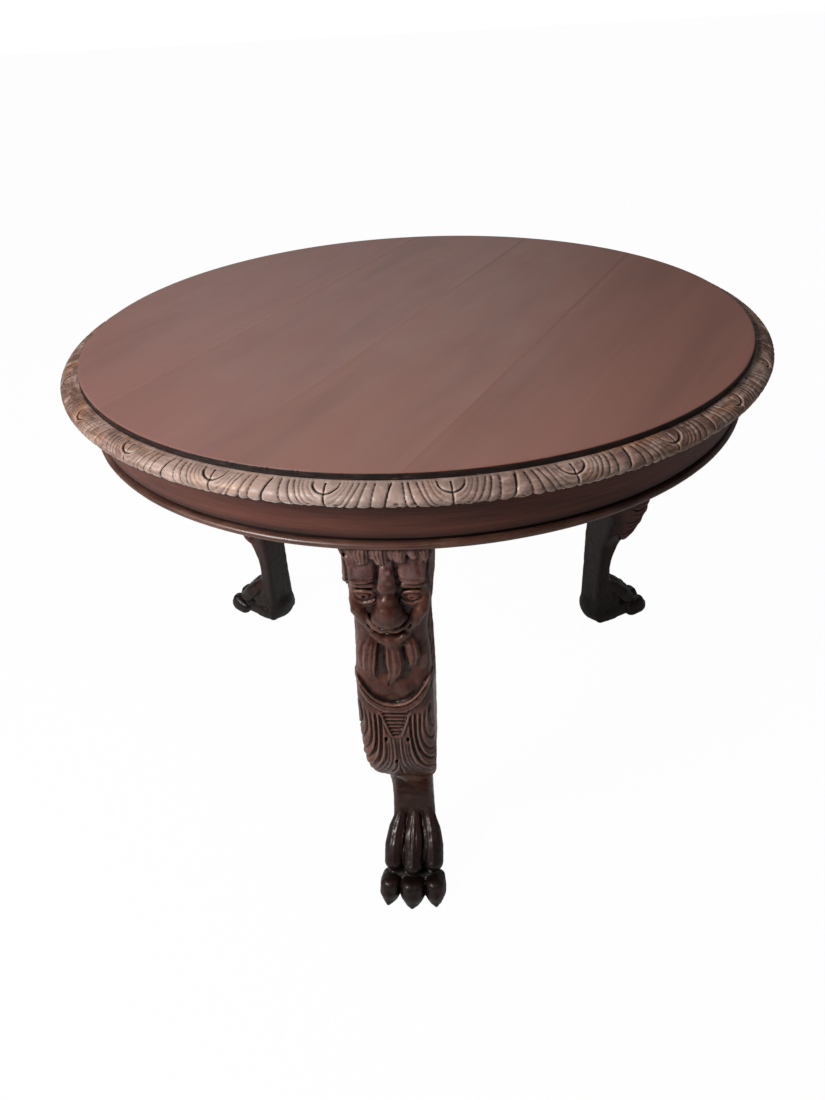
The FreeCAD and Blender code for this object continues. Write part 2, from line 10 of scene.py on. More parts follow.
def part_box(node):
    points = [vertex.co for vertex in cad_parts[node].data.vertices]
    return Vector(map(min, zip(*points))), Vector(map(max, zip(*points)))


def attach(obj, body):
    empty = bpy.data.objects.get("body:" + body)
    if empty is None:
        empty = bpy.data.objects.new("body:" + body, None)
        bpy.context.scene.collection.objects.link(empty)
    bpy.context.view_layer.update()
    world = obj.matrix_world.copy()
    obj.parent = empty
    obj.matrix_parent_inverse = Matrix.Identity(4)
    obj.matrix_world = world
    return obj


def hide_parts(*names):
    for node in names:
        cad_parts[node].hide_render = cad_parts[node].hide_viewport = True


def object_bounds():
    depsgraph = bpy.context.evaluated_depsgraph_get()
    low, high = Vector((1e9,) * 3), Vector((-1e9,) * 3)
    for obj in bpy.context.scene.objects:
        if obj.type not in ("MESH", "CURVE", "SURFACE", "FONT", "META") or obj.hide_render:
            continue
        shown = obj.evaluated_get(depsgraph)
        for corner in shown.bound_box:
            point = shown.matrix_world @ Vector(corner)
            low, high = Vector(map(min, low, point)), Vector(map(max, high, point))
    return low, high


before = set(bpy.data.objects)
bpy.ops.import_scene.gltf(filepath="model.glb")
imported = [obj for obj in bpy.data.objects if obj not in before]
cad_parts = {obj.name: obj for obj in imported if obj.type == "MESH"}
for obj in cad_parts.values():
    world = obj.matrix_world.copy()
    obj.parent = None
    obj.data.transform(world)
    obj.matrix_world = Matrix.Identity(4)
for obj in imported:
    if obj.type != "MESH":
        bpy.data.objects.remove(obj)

MM = 0.001
UNIT = 100  # millimetres to one unit of the woods' lengthwise, crosswise and depth values
WHITE = (1, 1, 1, 1)
cad_low, cad_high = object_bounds()


def nodes_called(start):
    return sorted(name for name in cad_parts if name.startswith(start))


def span(start):
    """Low and high corner, in millimetres, of all the nodes whose names start so."""
    boxes = [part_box(name) for name in nodes_called(start)]
    low = [min(b[0][i] for b in boxes) / MM for i in range(3)]
    high = [max(b[1][i] for b in boxes) / MM for i in range(3)]
    return low, high


# Places read from the frame, in millimetres.
TOP = cad_high.z / MM
PLATE_RADIUS = span("top_board")[1][0]
PLATE_FOOT = span("top_board")[0][2]
RIM_RADIUS = span("rim_moulding")[1][0]
RIM_LOW, RIM_HIGH = span("rim_moulding")[0][2], span("rim_moulding")[1][2]
FRIEZE_RADIUS = span("apron_segment")[1][0]
FRIEZE_LOW, FRIEZE_HIGH = span("apron_segment")[0][2], span("apron_segment")[1][2]
BEAD_RADIUS, BEAD_HIGH = span("bead_segment")[1][0], span("bead_segment")[1][2]
POST_TOP = span("leg_front")[1][2]
SHOULDER = FRIEZE_LOW
LEG_FACE = FRIEZE_RADIUS - 7
LEG_TURNS = {"leg_front": -90, "leg_right": 30, "leg_left": 150}

# Places that repeat the CAD sizes where the frame's boxes don't give them.
GRAIN_TURN = math.radians(67)
SEAM_PITCH = 220
RIM_PHASE = 1.1
RIM_LAP = 50
FRIEZE_THICK = 22
GLUE_GAP = 0.1
QUIRK_TOP = BEAD_HIGH + 6
HALF_SEGMENT = 59.998  # degrees, a hair short of the joint
POST_DEEP, POST_HALF = 70, 45


# Meshes


def mesh_object(name, points, faces, material, node, values):
    """A smooth piece from points in millimetres, tables of faces, and named values per point."""
    mesh = bpy.data.meshes.new(name)
    sizes = np.concatenate([np.full(len(table), table.shape[1], np.int32) for table in faces])
    corners = np.concatenate([table.ravel() for table in faces]).astype(np.int32)
    places = (np.asarray(points, np.float64) * MM).astype(np.float32)
    mesh.vertices.add(len(points))
    mesh.vertices.foreach_set("co", places.ravel())
    mesh.loops.add(len(corners))
    mesh.loops.foreach_set("vertex_index", corners)
    mesh.polygons.add(len(sizes))
    starts = np.concatenate([[0], np.cumsum(sizes)[:-1]]).astype(np.int32)
    mesh.polygons.foreach_set("loop_start", starts)
    mesh.update(calc_edges=True)
    mesh.validate()
    mesh.polygons.foreach_set("use_smooth", np.full(len(mesh.polygons), True))
    for key, numbers in values.items():
        layer = mesh.attributes.new(key, "FLOAT", "POINT")
        layer.data.foreach_set("value", np.asarray(numbers, np.float32))
    mesh.materials.append(material)
    piece = linked(name, mesh)
    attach(piece, "root")
    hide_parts(node)
    return piece


def linked(name, data):
    """A new object in the scene."""
    item = bpy.data.objects.new(name, data)
    bpy.context.scene.collection.objects.link(item)
    return item


def grain_places(along, across, depth):
    """The values that the woods read: lengthwise, crosswise and into the piece."""
    return {"along": along / UNIT, "across": across / UNIT, "depth": depth / UNIT}


def lerp_table(rows, places):
    """Columns of a table of (place, value, ...) at other places, rounded over a few millimetres."""
    rows = np.array(sorted(rows), float)
    fine = np.arange(rows[0, 0] - 20, rows[-1, 0] + 20, 0.5)
    kernel = np.hanning(27)
    kernel /= kernel.sum()
    out = []
    for column in range(1, rows.shape[1]):
        line = np.interp(fine, rows[:, 0], rows[:, column])
        padded = np.pad(line, 13, mode="edge")
        out.append(np.interp(places, fine, np.convolve(padded, kernel, "valid")))
    return out


def soft_min(a, b, k):
    """The lower of two, blended over k."""
    if k <= 0:
        return np.minimum(a, b)
    mix = np.clip(0.5 + 0.5 * (b - a) / k, 0, 1)
    return b + (a - b) * mix - k * mix * (1 - mix)


class Clay:
    """A block of clay as signed distances on a grid, in millimetres; negative is inside."""

    def __init__(self, low, high, step):
        self.low, self.step = np.array(low, float), step
        self.axes = [np.arange(a, b + step, step, dtype=np.float32) for a, b in zip(low, high)]
        self.field = np.full([len(a) for a in self.axes], 50, np.float32)

    def window(self, low, high):
        """The part of the grid between two corners: its slices and its coordinates."""
        cuts = []
        for axis, a, b in zip(self.axes, low, high):
            ends = (a - axis[0]) / self.step, (b - axis[0]) / self.step + 2
            cuts.append(slice(*(int(np.clip(end, 0, len(axis))) for end in ends)))
        x, y, z = (axis[c] for axis, c in zip(self.axes, cuts))
        return tuple(cuts), x[:, None, None], y[None, :, None], z[None, None, :]

    def put(self, shape, low, high, k=0, sides=False, carve=False):
        """Adds or carves a shape, blended over k; sides repeats it across the middle plane."""
        sign = -1 if carve else 1
        cuts, x, y, z = self.window(low, high)
        self.field[cuts] = sign * soft_min(sign * self.field[cuts], shape(x, y, z), k)
        if sides:
            low, high = (low[0], -high[1], low[2]), (high[0], -low[1], high[2])
            self.put(lambda x, y, z: shape(x, -y, z), low, high, k, carve=carve)

    def egg(self, centre, radii, k=0, sides=False, carve=False):
        """Adds or carves an ellipsoid."""
        reach = max(radii) + 6
        low, high = [c - reach for c in centre], [c + reach for c in centre]

        def shape(x, y, z):
            x, y, z = x - centre[0], y - centre[1], z - centre[2]
            a, b, c = radii
            near = np.sqrt((x / a) ** 2 + (y / b) ** 2 + (z / c) ** 2) + 1e-6
            far = np.sqrt((x / a**2) ** 2 + (y / b**2) ** 2 + (z / c**2) ** 2)
            return near * (near - 1) / (far + 1e-6)

        self.put(shape, low, high, k, sides, carve)

    def rope(self, path, k=0, sides=False, carve=False, flat=1):
        """Adds or carves a rope through (x, y, z, radius) points; flat squashes it in x."""
        path = np.array(path, float)
        reach = path[:, 3].max() + 6
        low, high = path[:, :3].min(0) - reach, path[:, :3].max(0) + reach

        def shape(x, y, z):
            best = None
            for a, b in zip(path[:-1], path[1:]):
                way = b[:3] - a[:3]
                way[0] /= flat
                px, py, pz = (x - a[0]) / flat, y - a[1], z - a[2]
                t = np.clip((px * way[0] + py * way[1] + pz * way[2]) / (way @ way), 0, 1)
                px, py, pz = px - t * way[0], py - t * way[1], pz - t * way[2]
                gap = np.sqrt(px**2 + py**2 + pz**2) - (a[3] + t * (b[3] - a[3]))
                best = gap if best is None else np.minimum(best, gap)
            return best

        self.put(shape, low, high, k, sides, carve)

    def block(self, centre, half, radius, k=0, tilt=0, yaw=0, point=0):
        """Adds a rounded block: tilt leans its top out, yaw turns it, point narrows its front."""
        reach = math.hypot(*half) + 4
        low, high = [c - reach for c in centre], [c + reach for c in centre]
        ct, st, cy, sy = math.cos(tilt), math.sin(tilt), math.cos(yaw), math.sin(yaw)

        def shape(x, y, z):
            x, y, z = x - centre[0], y - centre[1], z - centre[2]
            x, y = x * cy + y * sy, y * cy - x * sy
            x, z = x * ct - z * st, x * st + z * ct
            wide = half[1] * (1 - point * np.clip(x / half[0], 0, 1) ** 1.6)
            sizes = (x, half[0]), (y, wide), (z, half[2])
            qx, qy, qz = (np.abs(place) - size + radius for place, size in sizes)
            out = np.sqrt(np.maximum(qx, 0) ** 2 + np.maximum(qy, 0) ** 2 + np.maximum(qz, 0) ** 2)
            return out + np.minimum(np.maximum(np.maximum(qx, qy), qz), 0) - radius

        self.put(shape, low, high, k)

    def sample(self, grid, points):
        """Values of a grid the size of the clay at points, between its nodes."""
        place = (points - self.low) / self.step
        base = np.clip(np.floor(place).astype(int), 0, np.array(grid.shape) - 2)
        part = np.clip(place - base, 0, 1)
        total = 0
        for corner in range(8):
            shift = np.array([corner & 1, corner >> 1 & 1, corner >> 2 & 1])
            weight = np.prod(np.where(shift, part, 1 - part), axis=1)
            i, j, k = (base + shift).T
            total = total + grid[i, j, k] * weight
        return total

    def skin(self):
        """The surface as points and four-cornered faces."""
        field = self.field
        inside = field < 0
        n = np.array(field.shape)
        count = np.zeros(n - 1, np.int8)
        for corner in range(8):
            cut = tuple(slice(corner >> a & 1, n[a] - 1 + (corner >> a & 1)) for a in range(3))
            count += inside[cut]
        cells = np.argwhere((count > 0) & (count < 8))
        index = np.full(n - 1, -1, np.int32)
        index[tuple(cells.T)] = np.arange(len(cells))
        total, hits = np.zeros((len(cells), 3)), np.zeros(len(cells))
        for axis in range(3):
            others = [a for a in range(3) if a != axis]
            for corner in range(4):
                start = np.zeros(3, int)
                start[others[0]], start[others[1]] = corner & 1, corner >> 1
                end = start.copy()
                end[axis] = 1
                fa = field[tuple((cells + start).T)]
                fb = field[tuple((cells + end).T)]
                crossed = (fa < 0) != (fb < 0)
                t = np.where(crossed, fa / np.where(crossed, fa - fb, 1), 0)
                point = start + 0.0 * cells
                point[:, axis] += t
                total += point * crossed[:, None]
                hits += crossed
        points = (cells + total / hits[:, None]) * self.step + self.low
        faces = []
        for axis in range(3):
            u, v = (axis + 1) % 3, (axis + 2) % 3
            a = [slice(1, m - 1) for m in n]
            b = list(a)
            a[axis], b[axis] = slice(0, n[axis] - 1), slice(1, n[axis])
            one, two = inside[tuple(a)], inside[tuple(b)]
            for outward in (True, False):
                edge = np.argwhere(one & ~two if outward else ~one & two)
                edge[:, u] += 1
                edge[:, v] += 1
                corners = []
                for du, dv in ((-1, -1), (0, -1), (0, 0), (-1, 0)):
                    cell = edge.copy()
                    cell[:, u] += du
                    cell[:, v] += dv
                    corners.append(index[tuple(cell.T)])
                quad = np.stack(corners, 1)
                faces.append(quad if outward else quad[:, ::-1])
        return points, np.concatenate(faces)


def box_blur(grid, reach):
    """The mean over a cube of 2 * reach + 1 nodes a side."""
    for axis in range(3):
        pad = [(0, 0)] * 3
        pad[axis] = (reach + 1, reach)
        total = np.cumsum(np.pad(grid, pad, mode="edge"), axis=axis, dtype=np.float64)
        size = 2 * reach + 1
        high = [slice(None)] * 3
        low = [slice(None)] * 3
        high[axis], low[axis] = slice(size, None), slice(0, -size)
        grid = ((total[tuple(high)] - total[tuple(low)]) / size).astype(np.float32)
    return grid


class Relief:
    """Heights in millimetres over the unrolled face of a leg: sideways from the middle, and up."""

    def __init__(self, reach, low, high, step=0.6):
        self.u = np.arange(-reach, reach + step, step)
        self.z = np.arange(low, high + step, step)
        self.step = step
        self.height = np.zeros((len(self.u), len(self.z)), np.float32)

    def near(self, path, margin):
        """Window round a path, and each place's distance from it and share along it."""
        path = np.array(path, float)
        cuts = []
        for axis, column in ((self.u, 0), (self.z, 1)):
            first = (path[:, column].min() - margin - axis[0]) / self.step
            last = (path[:, column].max() + margin - axis[0]) / self.step + 1
            cuts.append(slice(*(int(np.clip(end, 0, len(axis))) for end in (first, last))))
        u, z = self.u[cuts[0]][:, None], self.z[cuts[1]][None, :]
        lengths = np.hypot(*np.diff(path, axis=0).T)
        sums = np.concatenate([[0], np.cumsum(lengths)])
        gap = np.full((u.size, z.size), 1e3)
        share = np.zeros_like(gap)
        for a, b, before, length in zip(path[:-1], path[1:], sums, lengths):
            way = b - a
            t = np.clip(((u - a[0]) * way[0] + (z - a[1]) * way[1]) / max(way @ way, 1e-6), 0, 1)
            d = np.hypot(u - a[0] - t * way[0], z - a[1] - t * way[1])
            closer = d < gap
            gap = np.where(closer, d, gap)
            share = np.where(closer, (before + t * length) / sums[-1], share)
        return tuple(cuts), gap, share

    def line(self, path, width, height, taper=0.15, mirror=True, bends=True):
        """A rounded ridge, or a groove where height is negative, along a path."""
        path = curve_through(path) if bends else np.array(path, float)
        for side in (1, -1) if mirror else (1,):
            cuts, gap, share = self.near(path * [side, 1], width)
            ends = np.clip(np.minimum(share, 1 - share) / max(taper, 1e-3), 0, 1) ** 0.5
            shape = np.clip(1 - (gap / (width / 2 * (0.4 + 0.6 * ends))) ** 2, 0, 1)
            change = height * shape * (0.3 + 0.7 * ends)
            kept = self.height[cuts]
            self.height[cuts] = np.minimum(kept, kept + change) if height < 0 else kept + change

    def pad(self, centre, radii, height, power=2, mirror=True, soft=1):
        """A rounded pad, or a hollow where height is negative."""
        for side in (1, -1) if mirror else (1,):
            u = (self.u[:, None] - centre[0] * side) / radii[0]
            z = (self.z[None, :] - centre[1]) / radii[1]
            inside = np.clip(1 - np.abs(u) ** power - np.abs(z) ** power, 0, 1)
            self.height += height * inside**soft

    def at(self, u, z):
        """Heights between the grid's places."""
        pu = np.clip((u - self.u[0]) / self.step, 0, len(self.u) - 1.001)
        pz = np.clip((z - self.z[0]) / self.step, 0, len(self.z) - 1.001)
        i, k = pu.astype(int), pz.astype(int)
        a, b = pu - i, pz - k
        h = self.height
        low = h[i, k] * (1 - b) + h[i, k + 1] * b
        high = h[i + 1, k] * (1 - b) + h[i + 1, k + 1] * b
        return low * (1 - a) + high * a


def curve_through(points, parts=8):
    """A smooth curve through points, as a list of nearer points."""
    p = np.array(points, float)
    p = np.vstack([2 * p[0] - p[1], p, 2 * p[-1] - p[-2]])
    out = []
    for a, b, c, d in zip(p[:-3], p[1:-2], p[2:-1], p[3:]):
        for t in np.linspace(0, 1, parts, endpoint=False):
            out.append(0.5 * (2 * b + (c - a) * t + (2 * a - 5 * b + 4 * c - d) * t**2
                              + (3 * b - a - 3 * c + d) * t**3))
    return np.array(out + [p[-2]])


# The carved leg, in its own frame: x is outwards from the leg's face line, y sideways, z up.

CLAY_STEP, QUICK_CLAY_STEP = 1.3, 2.4  # millimetres between the clay's places
FACES_KEPT = 0.46

# Height, face, back, half width and corner radius of the head, chest and knee.
KNEE = [
    (190, -55, -95, 37, 9),
    (200, -51, -95, 39.5, 10),
    (212, -44, -95, 42.5, 11),
    (222, -38, -95, 44.5, 12),
    (232, -29, -94, 45.5, 12),
    (242, -22, -94, 46.5, 13),
    (256, -15, -93, 47.5, 13),
    (270, -8, -93, 48.5, 14),
    (286, -2, -92, 49.5, 14),
    (310, 0, -92, 50.5, 15),
    (350, 1, -92, 51.5, 16),
    (400, 0, -92, 52, 18),
    (450, -2, -92, 51, 20),
    (500, -6, -92, 48.5, 22),
    (530, -6, -92, 48, 22),
    (560, -4, -93, 50.5, 22),
    (580, -3, -93, 53, 22),
    (620, -3, -93, 54, 22),
    (644, -2, -92, 55, 20),
    (652, -1, -92, 58, 18),
    (656, 0, -92, 60, 16),
]

# The same for the shank, which carries on inside the knee and the paw.
SHANK = [
    (45, -52, -96, 34, 12),
    (90, -58, -96, 32.5, 10),
    (120, -64, -96, 31.5, 9),
    (140, -66, -96, 31.5, 8),
    (160, -64, -96, 31.5, 8),
    (180, -58.5, -96, 32, 8),
    (200, -51, -96, 33, 9),
    (215, -44, -96, 35, 10),
    (235, -37, -95.5, 40, 11),
    (262, -32, -94.5, 45, 12),
    (290, -30, -93, 48, 13),
]

# Hand-carved lean of the leg's middle line: height and sideways shift.
LEAN = [(0, 0), (110, 1), (205, 1), (232, -5), (340, -7), (450, -6), (560, -4), (610, -3),
        (650, -2), (662, 0)]


def slab(rows, low, high, dip=0, rise=0):
    """A rounded box that changes with height; its foot hangs in the middle and rises behind."""

    def shape(x, y, z):
        columns = lerp_table(rows, z.ravel())
        face, back, half, corner = (column.astype(np.float32) for column in columns)
        middle, deep = (face + back) / 2, (face - back) / 2
        qx, qy = np.abs(x - middle) - deep + corner, np.abs(y) - half + corner
        out = np.sqrt(np.maximum(qx, 0) ** 2 + np.maximum(qy, 0) ** 2)
        side = out + np.minimum(np.maximum(qx, qy), 0) - corner
        foot = low - dip * (1 - np.clip(np.abs(y - 3) / 42, 0, 1) ** 1.7)
        foot = foot + rise * np.clip((-56 - x) / 38, 0, 1)
        ends = np.maximum(foot - z, z - high)
        return -soft_min(-side, -ends, 4 if dip else 0)

    return shape


def carve_leaves(relief):
    """Leaf veins that fall from the collar and curl outwards, stems and drilled holes."""
    veins = [
        [(15, 336), (17, 298), (27, 270), (42, 248), (58, 238), (82, 240)],
        [(20, 384), (21, 341), (25, 304), (34, 281), (48, 266), (62, 261), (84, 266)],
        [(27, 386), (27, 345), (31, 316), (40, 298), (52, 288), (66, 287), (84, 296)],
        [(34, 388), (33, 350), (37, 328), (46, 313), (58, 308), (72, 314)],
        [(41, 394), (39, 362), (43, 342), (52, 331), (62, 331), (72, 340)],
        [(47, 402), (45, 374), (49, 357), (57, 350), (66, 357)],
    ]
    for i, path in enumerate(veins):
        relief.line(path, 5.4 if i in (1, 2) else 4.2, -3.6 if i in (1, 2) else -2.4)
    for path in (
        [(24, 386), (24, 343), (28, 310), (37, 289), (50, 277), (64, 274), (84, 280)],
        [(30.5, 386), (30, 348), (34, 322), (43, 305), (55, 298), (69, 300)],
        [(18, 330), (21, 301), (31, 276), (45, 257), (60, 249), (82, 253)],
    ):
        relief.line(path, 4.6, 1.5)
    stems = [
        [(2.5, 344), (2, 305), (5, 268), (15, 240), (30, 222)],
        [(7.5, 342), (7.5, 304), (13, 270), (26, 246), (40, 230)],
        [(11.5, 338), (12.5, 302), (20, 270), (34, 246), (46, 238)],
    ]
    for path in stems:
        relief.line(path, 3.4, -1.9)
    relief.line([(0, 340), (0, 262), (1, 222)], 3, -1.6, mirror=False)
    relief.line([(4.8, 336), (4.6, 300), (9, 268), (20, 243), (34, 226)], 3.2, 1.2)
    relief.pad((15, 334), (2.4, 5.4), -9, power=2.5)
    relief.pad((-4.5, 287), (2.2, 4.6), -8, power=2.5, mirror=False)


def carve_panel(relief):
    """The ribbed wedge below the collar."""
    u, z = relief.u[:, None], relief.z[None, :]
    half = np.interp(relief.z, [342, 388], [5.5, 20])[None, :]
    inside = np.clip((half - np.abs(u)) / 1.5, 0, 1) * ((z > 341) & (z < 392))
    ribs = 0.5 - 0.5 * np.cos((z - 343) / 6.6 * 2 * math.pi)
    relief.height += (inside * (-3.4 + 2.6 * ribs)).astype(np.float32)
    relief.line([(7, 341), (21.5, 388)], 3.4, 1.6, bends=False)
    relief.line([(10.5, 341), (25, 388)], 2.6, -1.4, bends=False)


def carve_mane(relief):
    """Strands of mane down the leg's sides and beside the face and chest."""
    for i, u in enumerate((50, 57, 65, 73, 82, 91)):
        sway = 3 if i % 2 else -3
        path = [(u + 2, 652), (u + sway, 610), (u - sway, 565), (u + sway, 520),
                (u - sway * 0.5, 470), (u + sway * 0.5, 425 - i * 3)]
        relief.line(path, 5, -2.0)
        relief.line([(a + 3.6, b) for a, b in path], 4, 0.8)


def carve_collar(relief):
    """The crescent collar, proud of the chest, with a thin bead along its upper edge."""
    u, z = relief.u[:, None], relief.z[None, :]
    across = np.abs(relief.u)
    lower = [(0, 387), (14, 390), (26, 398), (36, 409), (43, 421), (48, 432), (55, 446)]
    upper = [(0, 406), (14, 409), (24, 416), (32, 425), (38, 434), (43, 442), (49, 449), (55, 448)]
    low, high = (np.interp(across, *zip(*line))[:, None] for line in (lower, upper))
    ends = np.clip((56 - np.abs(u)) / 10, 0, 1)
    edge = np.clip(np.minimum(z - low, high - z) / 2.2, 0, 1)
    relief.height += (5.2 * np.sin(edge * math.pi / 2) * ends).astype(np.float32)
    path = [(0, 405), (14, 408), (24, 415), (32, 424), (38, 433), (43, 441)]
    relief.line(path, 5, 1.7, taper=0.01)
    relief.line([(a, b - 4.4) for a, b in path], 3.4, -1.5, taper=0.01)


def groove(clay, path, across, size):
    """A shallow cut along a rope's crest, off its middle by a share of its radius."""
    last = len(path) - 1
    cut = []
    for i, (x, y, z, r) in enumerate(path):
        # the ends lie proud, so that they leave no pinhole
        proud = 1.1 if i in (0, last) else 0.72 - 0.3 * abs(across)
        cut.append((x + r * proud, y + across * r, z, max(r * size, 0.3)))
    clay.rope(cut, k=1.2, carve=True)


def lock(clay, path, across, size, least=0.7):
    """A thin lock of hair along a rope, off its middle by a share of its radius."""
    hair = [(x + r * 0.5, y + across * r, z, max(r * size, least)) for x, y, z, r in path]
    clay.rope(hair, k=2)


def carve_chest(clay):
    """Tongues of mane that hang on the chest, and the round breast below them."""
    clay.egg((-10, 14, 431), (13, 15, 17), k=7, sides=True)
    clay.egg((-7, -8, 446), (9, 9, 10), k=4)
    middle = [(-7, 0, 514, 7), (-2, 3, 496, 11.5), (0, 5, 478, 13), (0, 4, 462, 10.5),
              (-2, -1, 447, 6.5), (-4, -6, 434, 2.4), (-6, -9, 426, 0.6)]
    clay.rope(middle, k=2, flat=0.6)
    lock(clay, middle, -0.66, 0.12)
    lock(clay, middle, 0.6, 0.1)
    groove(clay, middle[:-1], -0.3, 0.09)
    groove(clay, middle[:-2], 0.2, 0.06)
    left = [(-9, -21, 517, 7), (-3, -26, 498, 10), (-2, -28, 480, 10.5), (-3, -29, 463, 9),
            (-4, -27, 450, 6), (-4, -20, 443, 2.4), (-6, -15, 439, 0.6)]
    clay.rope(left, k=2, flat=0.62)
    lock(clay, left, -0.7, 0.1, 0.8)
    lock(clay, left, 0.6, 0.14, 0.8)
    groove(clay, left[:-1], 0.3, 0.09)
    groove(clay, left[:-2], -0.25, 0.06)
    right = [(-9, 22, 518, 6.5), (-4, 26, 503, 9), (-3, 28, 488, 9), (-4, 27, 474, 6.5),
             (-6, 23, 462, 2.2)]
    clay.rope(right, k=2, flat=0.62)
    lock(clay, right[:-1], 0.6, 0.13)
    groove(clay, right, 0.25, 0.09)
    outer = [(-11, 35, 502, 5.5), (-8, 38, 484, 7.5), (-8, 38, 466, 6), (-9, 34, 452, 2)]
    clay.rope(outer, k=2, sides=True, flat=0.7)
    # the two thin ones between them
    for path in (
        [(-9, -13, 506, 5), (-6, -14, 488, 6), (-6, -14, 470, 5), (-6, -12, 456, 1.8)],
        [(-9, 16, 502, 4.5), (-6, 18, 484, 5.5), (-6, 17, 468, 4), (-6, 14, 456, 1.6)],
    ):
        clay.rope(path, k=2, flat=0.7)


def carve_face(clay):
    """The lion's face: tufts, brows, eyes, muzzle, jowls, mouth and chin."""
    rng = np.random.default_rng(4)
    # brows: blocks that lean back to the hair, with a crisp lower edge, and the ledge under them
    for y, half in ((-33, 21), (30.5, 18)):
        clay.block((-9, y, 624), (11.5, half - 0.5, 18.5), 8, k=2.5, tilt=-0.16)
        clay.egg((-6, y, 619), (10.5, half - 1, 14), k=3)
        edge = half - 3
        clay.rope([(-3, y - edge, 607.5, 3.2), (1.2, y - edge * 0.4, 606, 3.6),
                   (1.2, y + edge * 0.4, 606, 3.6), (-3, y + edge, 607.5, 3.2)], k=1.6)
    # sockets
    clay.egg((3, 31, 588), (11, 17, 11), k=2, sides=True, carve=True)
    clay.egg((4, 38, 578), (9, 12, 11), k=3, sides=True, carve=True)
    # bridge of the nose, and the dark cuts beside it
    clay.rope([(-3, 0, 632, 8), (-0.5, 0, 614, 9.5), (0.5, 0, 596, 12)], k=1.5, flat=0.72)
    clay.rope([(2, 10.5, 641, 1.5), (1.5, 11.5, 622, 2.6), (1, 14, 604, 2.6), (-3, 17, 594, 2)],
              k=1, sides=True, carve=True)
    for i, (y, z) in enumerate(((-3, 627), (2.5, 621), (-1.5, 614), (3, 607), (-2, 601))):
        clay.egg((4.2 + 0.5 * i, y, z), (2.4, 3.4, 3.2), k=2.5)
    # eyes: ball, upper lid and two lines of lower lid
    clay.egg((-9.5, 30, 581), (9.5, 11, 8), k=0.8, sides=True)
    clay.egg((-0.8, 29, 580), (2.2, 2.6, 2.6), k=0.5, sides=True, carve=True)
    clay.rope([(-9, 46, 596, 3.5), (-5, 38, 598, 4.8), (-4, 30, 598.5, 5.2), (-4, 20, 598, 4.8),
               (-6, 13, 596, 3.5)], k=1.5, sides=True)
    clay.rope([(-9, 44, 583, 1.4), (-3.5, 38, 588, 1.8), (-1.5, 30, 589.5, 2.0),
               (-2.5, 20, 587, 1.8), (-4, 15, 582, 1.2)], k=1.2, sides=True)
    lid = [(-9, 45, 582, 1.4), (-6, 41, 574.5, 1.9), (-3.5, 31, 569.5, 2.2), (-2.5, 21, 572, 2.0),
           (-1, 16, 577, 1.6)]
    clay.rope(lid, k=0.8, sides=True)
    clay.rope([(x - 2, 30 + (y - 30) * 1.16, z - 6.2 + abs(y - 30) * 0.1, r) for x, y, z, r in lid],
              k=1.2, sides=True)
    # cheeks run from the eyes to the corners of the mouth
    clay.rope([(-11, 43, 572, 7), (-8, 39, 558, 9.5), (-6, 31, 543, 8), (-6, 24, 530, 6)], k=3,
              sides=True)
    # crease, then the pear of the nose
    clay.rope([(0, 0, 590, 9), (3.5, 0, 577, 13), (5, 0, 564, 17), (2, 0, 555, 18.5)], k=1.0,
              flat=0.95)
    clay.rope([(7, 14, 592, 1.1), (11, 7, 594.5, 1.3), (12, 0, 595, 1.3)], k=0.8, sides=True,
              carve=True)
    clay.egg((4, 11, 554), (11.5, 10.5, 9.5), k=6, sides=True)
    # smiling upper lip: a band that rises to the cheeks, with a cut above and the mouth below
    lip = [(-6, 31, 557, 2.6), (-1, 27, 547, 3.4), (5, 19, 540.5, 3.9), (9, 9, 537, 4.0),
           (10, 0, 538.5, 3.2)]
    clay.rope(lip, k=0.8, sides=True)
    clay.rope([(x + 1, y * 0.97 - 1, z + 4.6, 0.9) for x, y, z, r in lip[:-1]], k=0.6, sides=True,
              carve=True)
    clay.rope([(x - 3, y * 1.16 + 2, z + 1.5, 1.6) for x, y, z, r in lip[:-1]], k=1.2, sides=True)
    clay.rope([(15, 0, 547, 1), (14.5, 0, 540, 1.1), (12, 0, 534, 1)], k=0.6, carve=True)
    # open mouth with the teeth's edge, full lower lip and chin
    clay.egg((8, 1, 526), (15, 18, 8), k=1, carve=True)
    clay.rope([(4, 14, 531, 2.2), (0, 24, 535, 1.8), (-4, 31, 545, 1.2)], k=0.8, sides=True,
              carve=True)
    for i in range(5):
        clay.egg((-2.5, -10 + 4.6 * i, 531.5 - 0.2 * (i - 2) ** 2), (4.5, 2.1, 2.6), k=0.8)
    clay.rope([(-9, 28, 531, 3), (-4, 21, 521, 4.5), (-1.5, 11, 514, 5.6), (-0.5, 0, 512, 6)], k=3,
              sides=True)
    clay.egg((-7, 2, 506), (11, 16, 9), k=4)
    clay.rope([(7, 10, 507, 0.8), (7.5, 2, 505, 1.0), (7, -8, 507, 0.8)], k=1, carve=True)
    # tufts of hair under the shoulder and over the brows
    tufts = ((-53, 6, 634), (-42, 7.5, 636), (-29, 10.5, 627), (-17, 7, 637), (-8, 10, 625),
             (5, 6.5, 635), (17, 8.5, 629), (30, 7.5, 638), (42, 8, 632), (53, 6, 638))
    for y, wide, foot in tufts:
        sway, out = rng.uniform(-5, 5), -3.5 - max(abs(y) - 38, 0) * 0.55 + rng.uniform(-1, 1)
        path = [(out - 1, y, 660, wide * 0.8), (out + 3, y + sway * 0.2, 649, wide),
                (out + 3.5, y + sway * 0.7, (649 + foot) / 2, wide * 0.85),
                (out + 1, y + sway, foot, wide * 0.3)]
        clay.rope(path, k=1, flat=0.75)
        for across in (-0.5, 0.02, 0.5):
            groove(clay, path, across, 0.09)


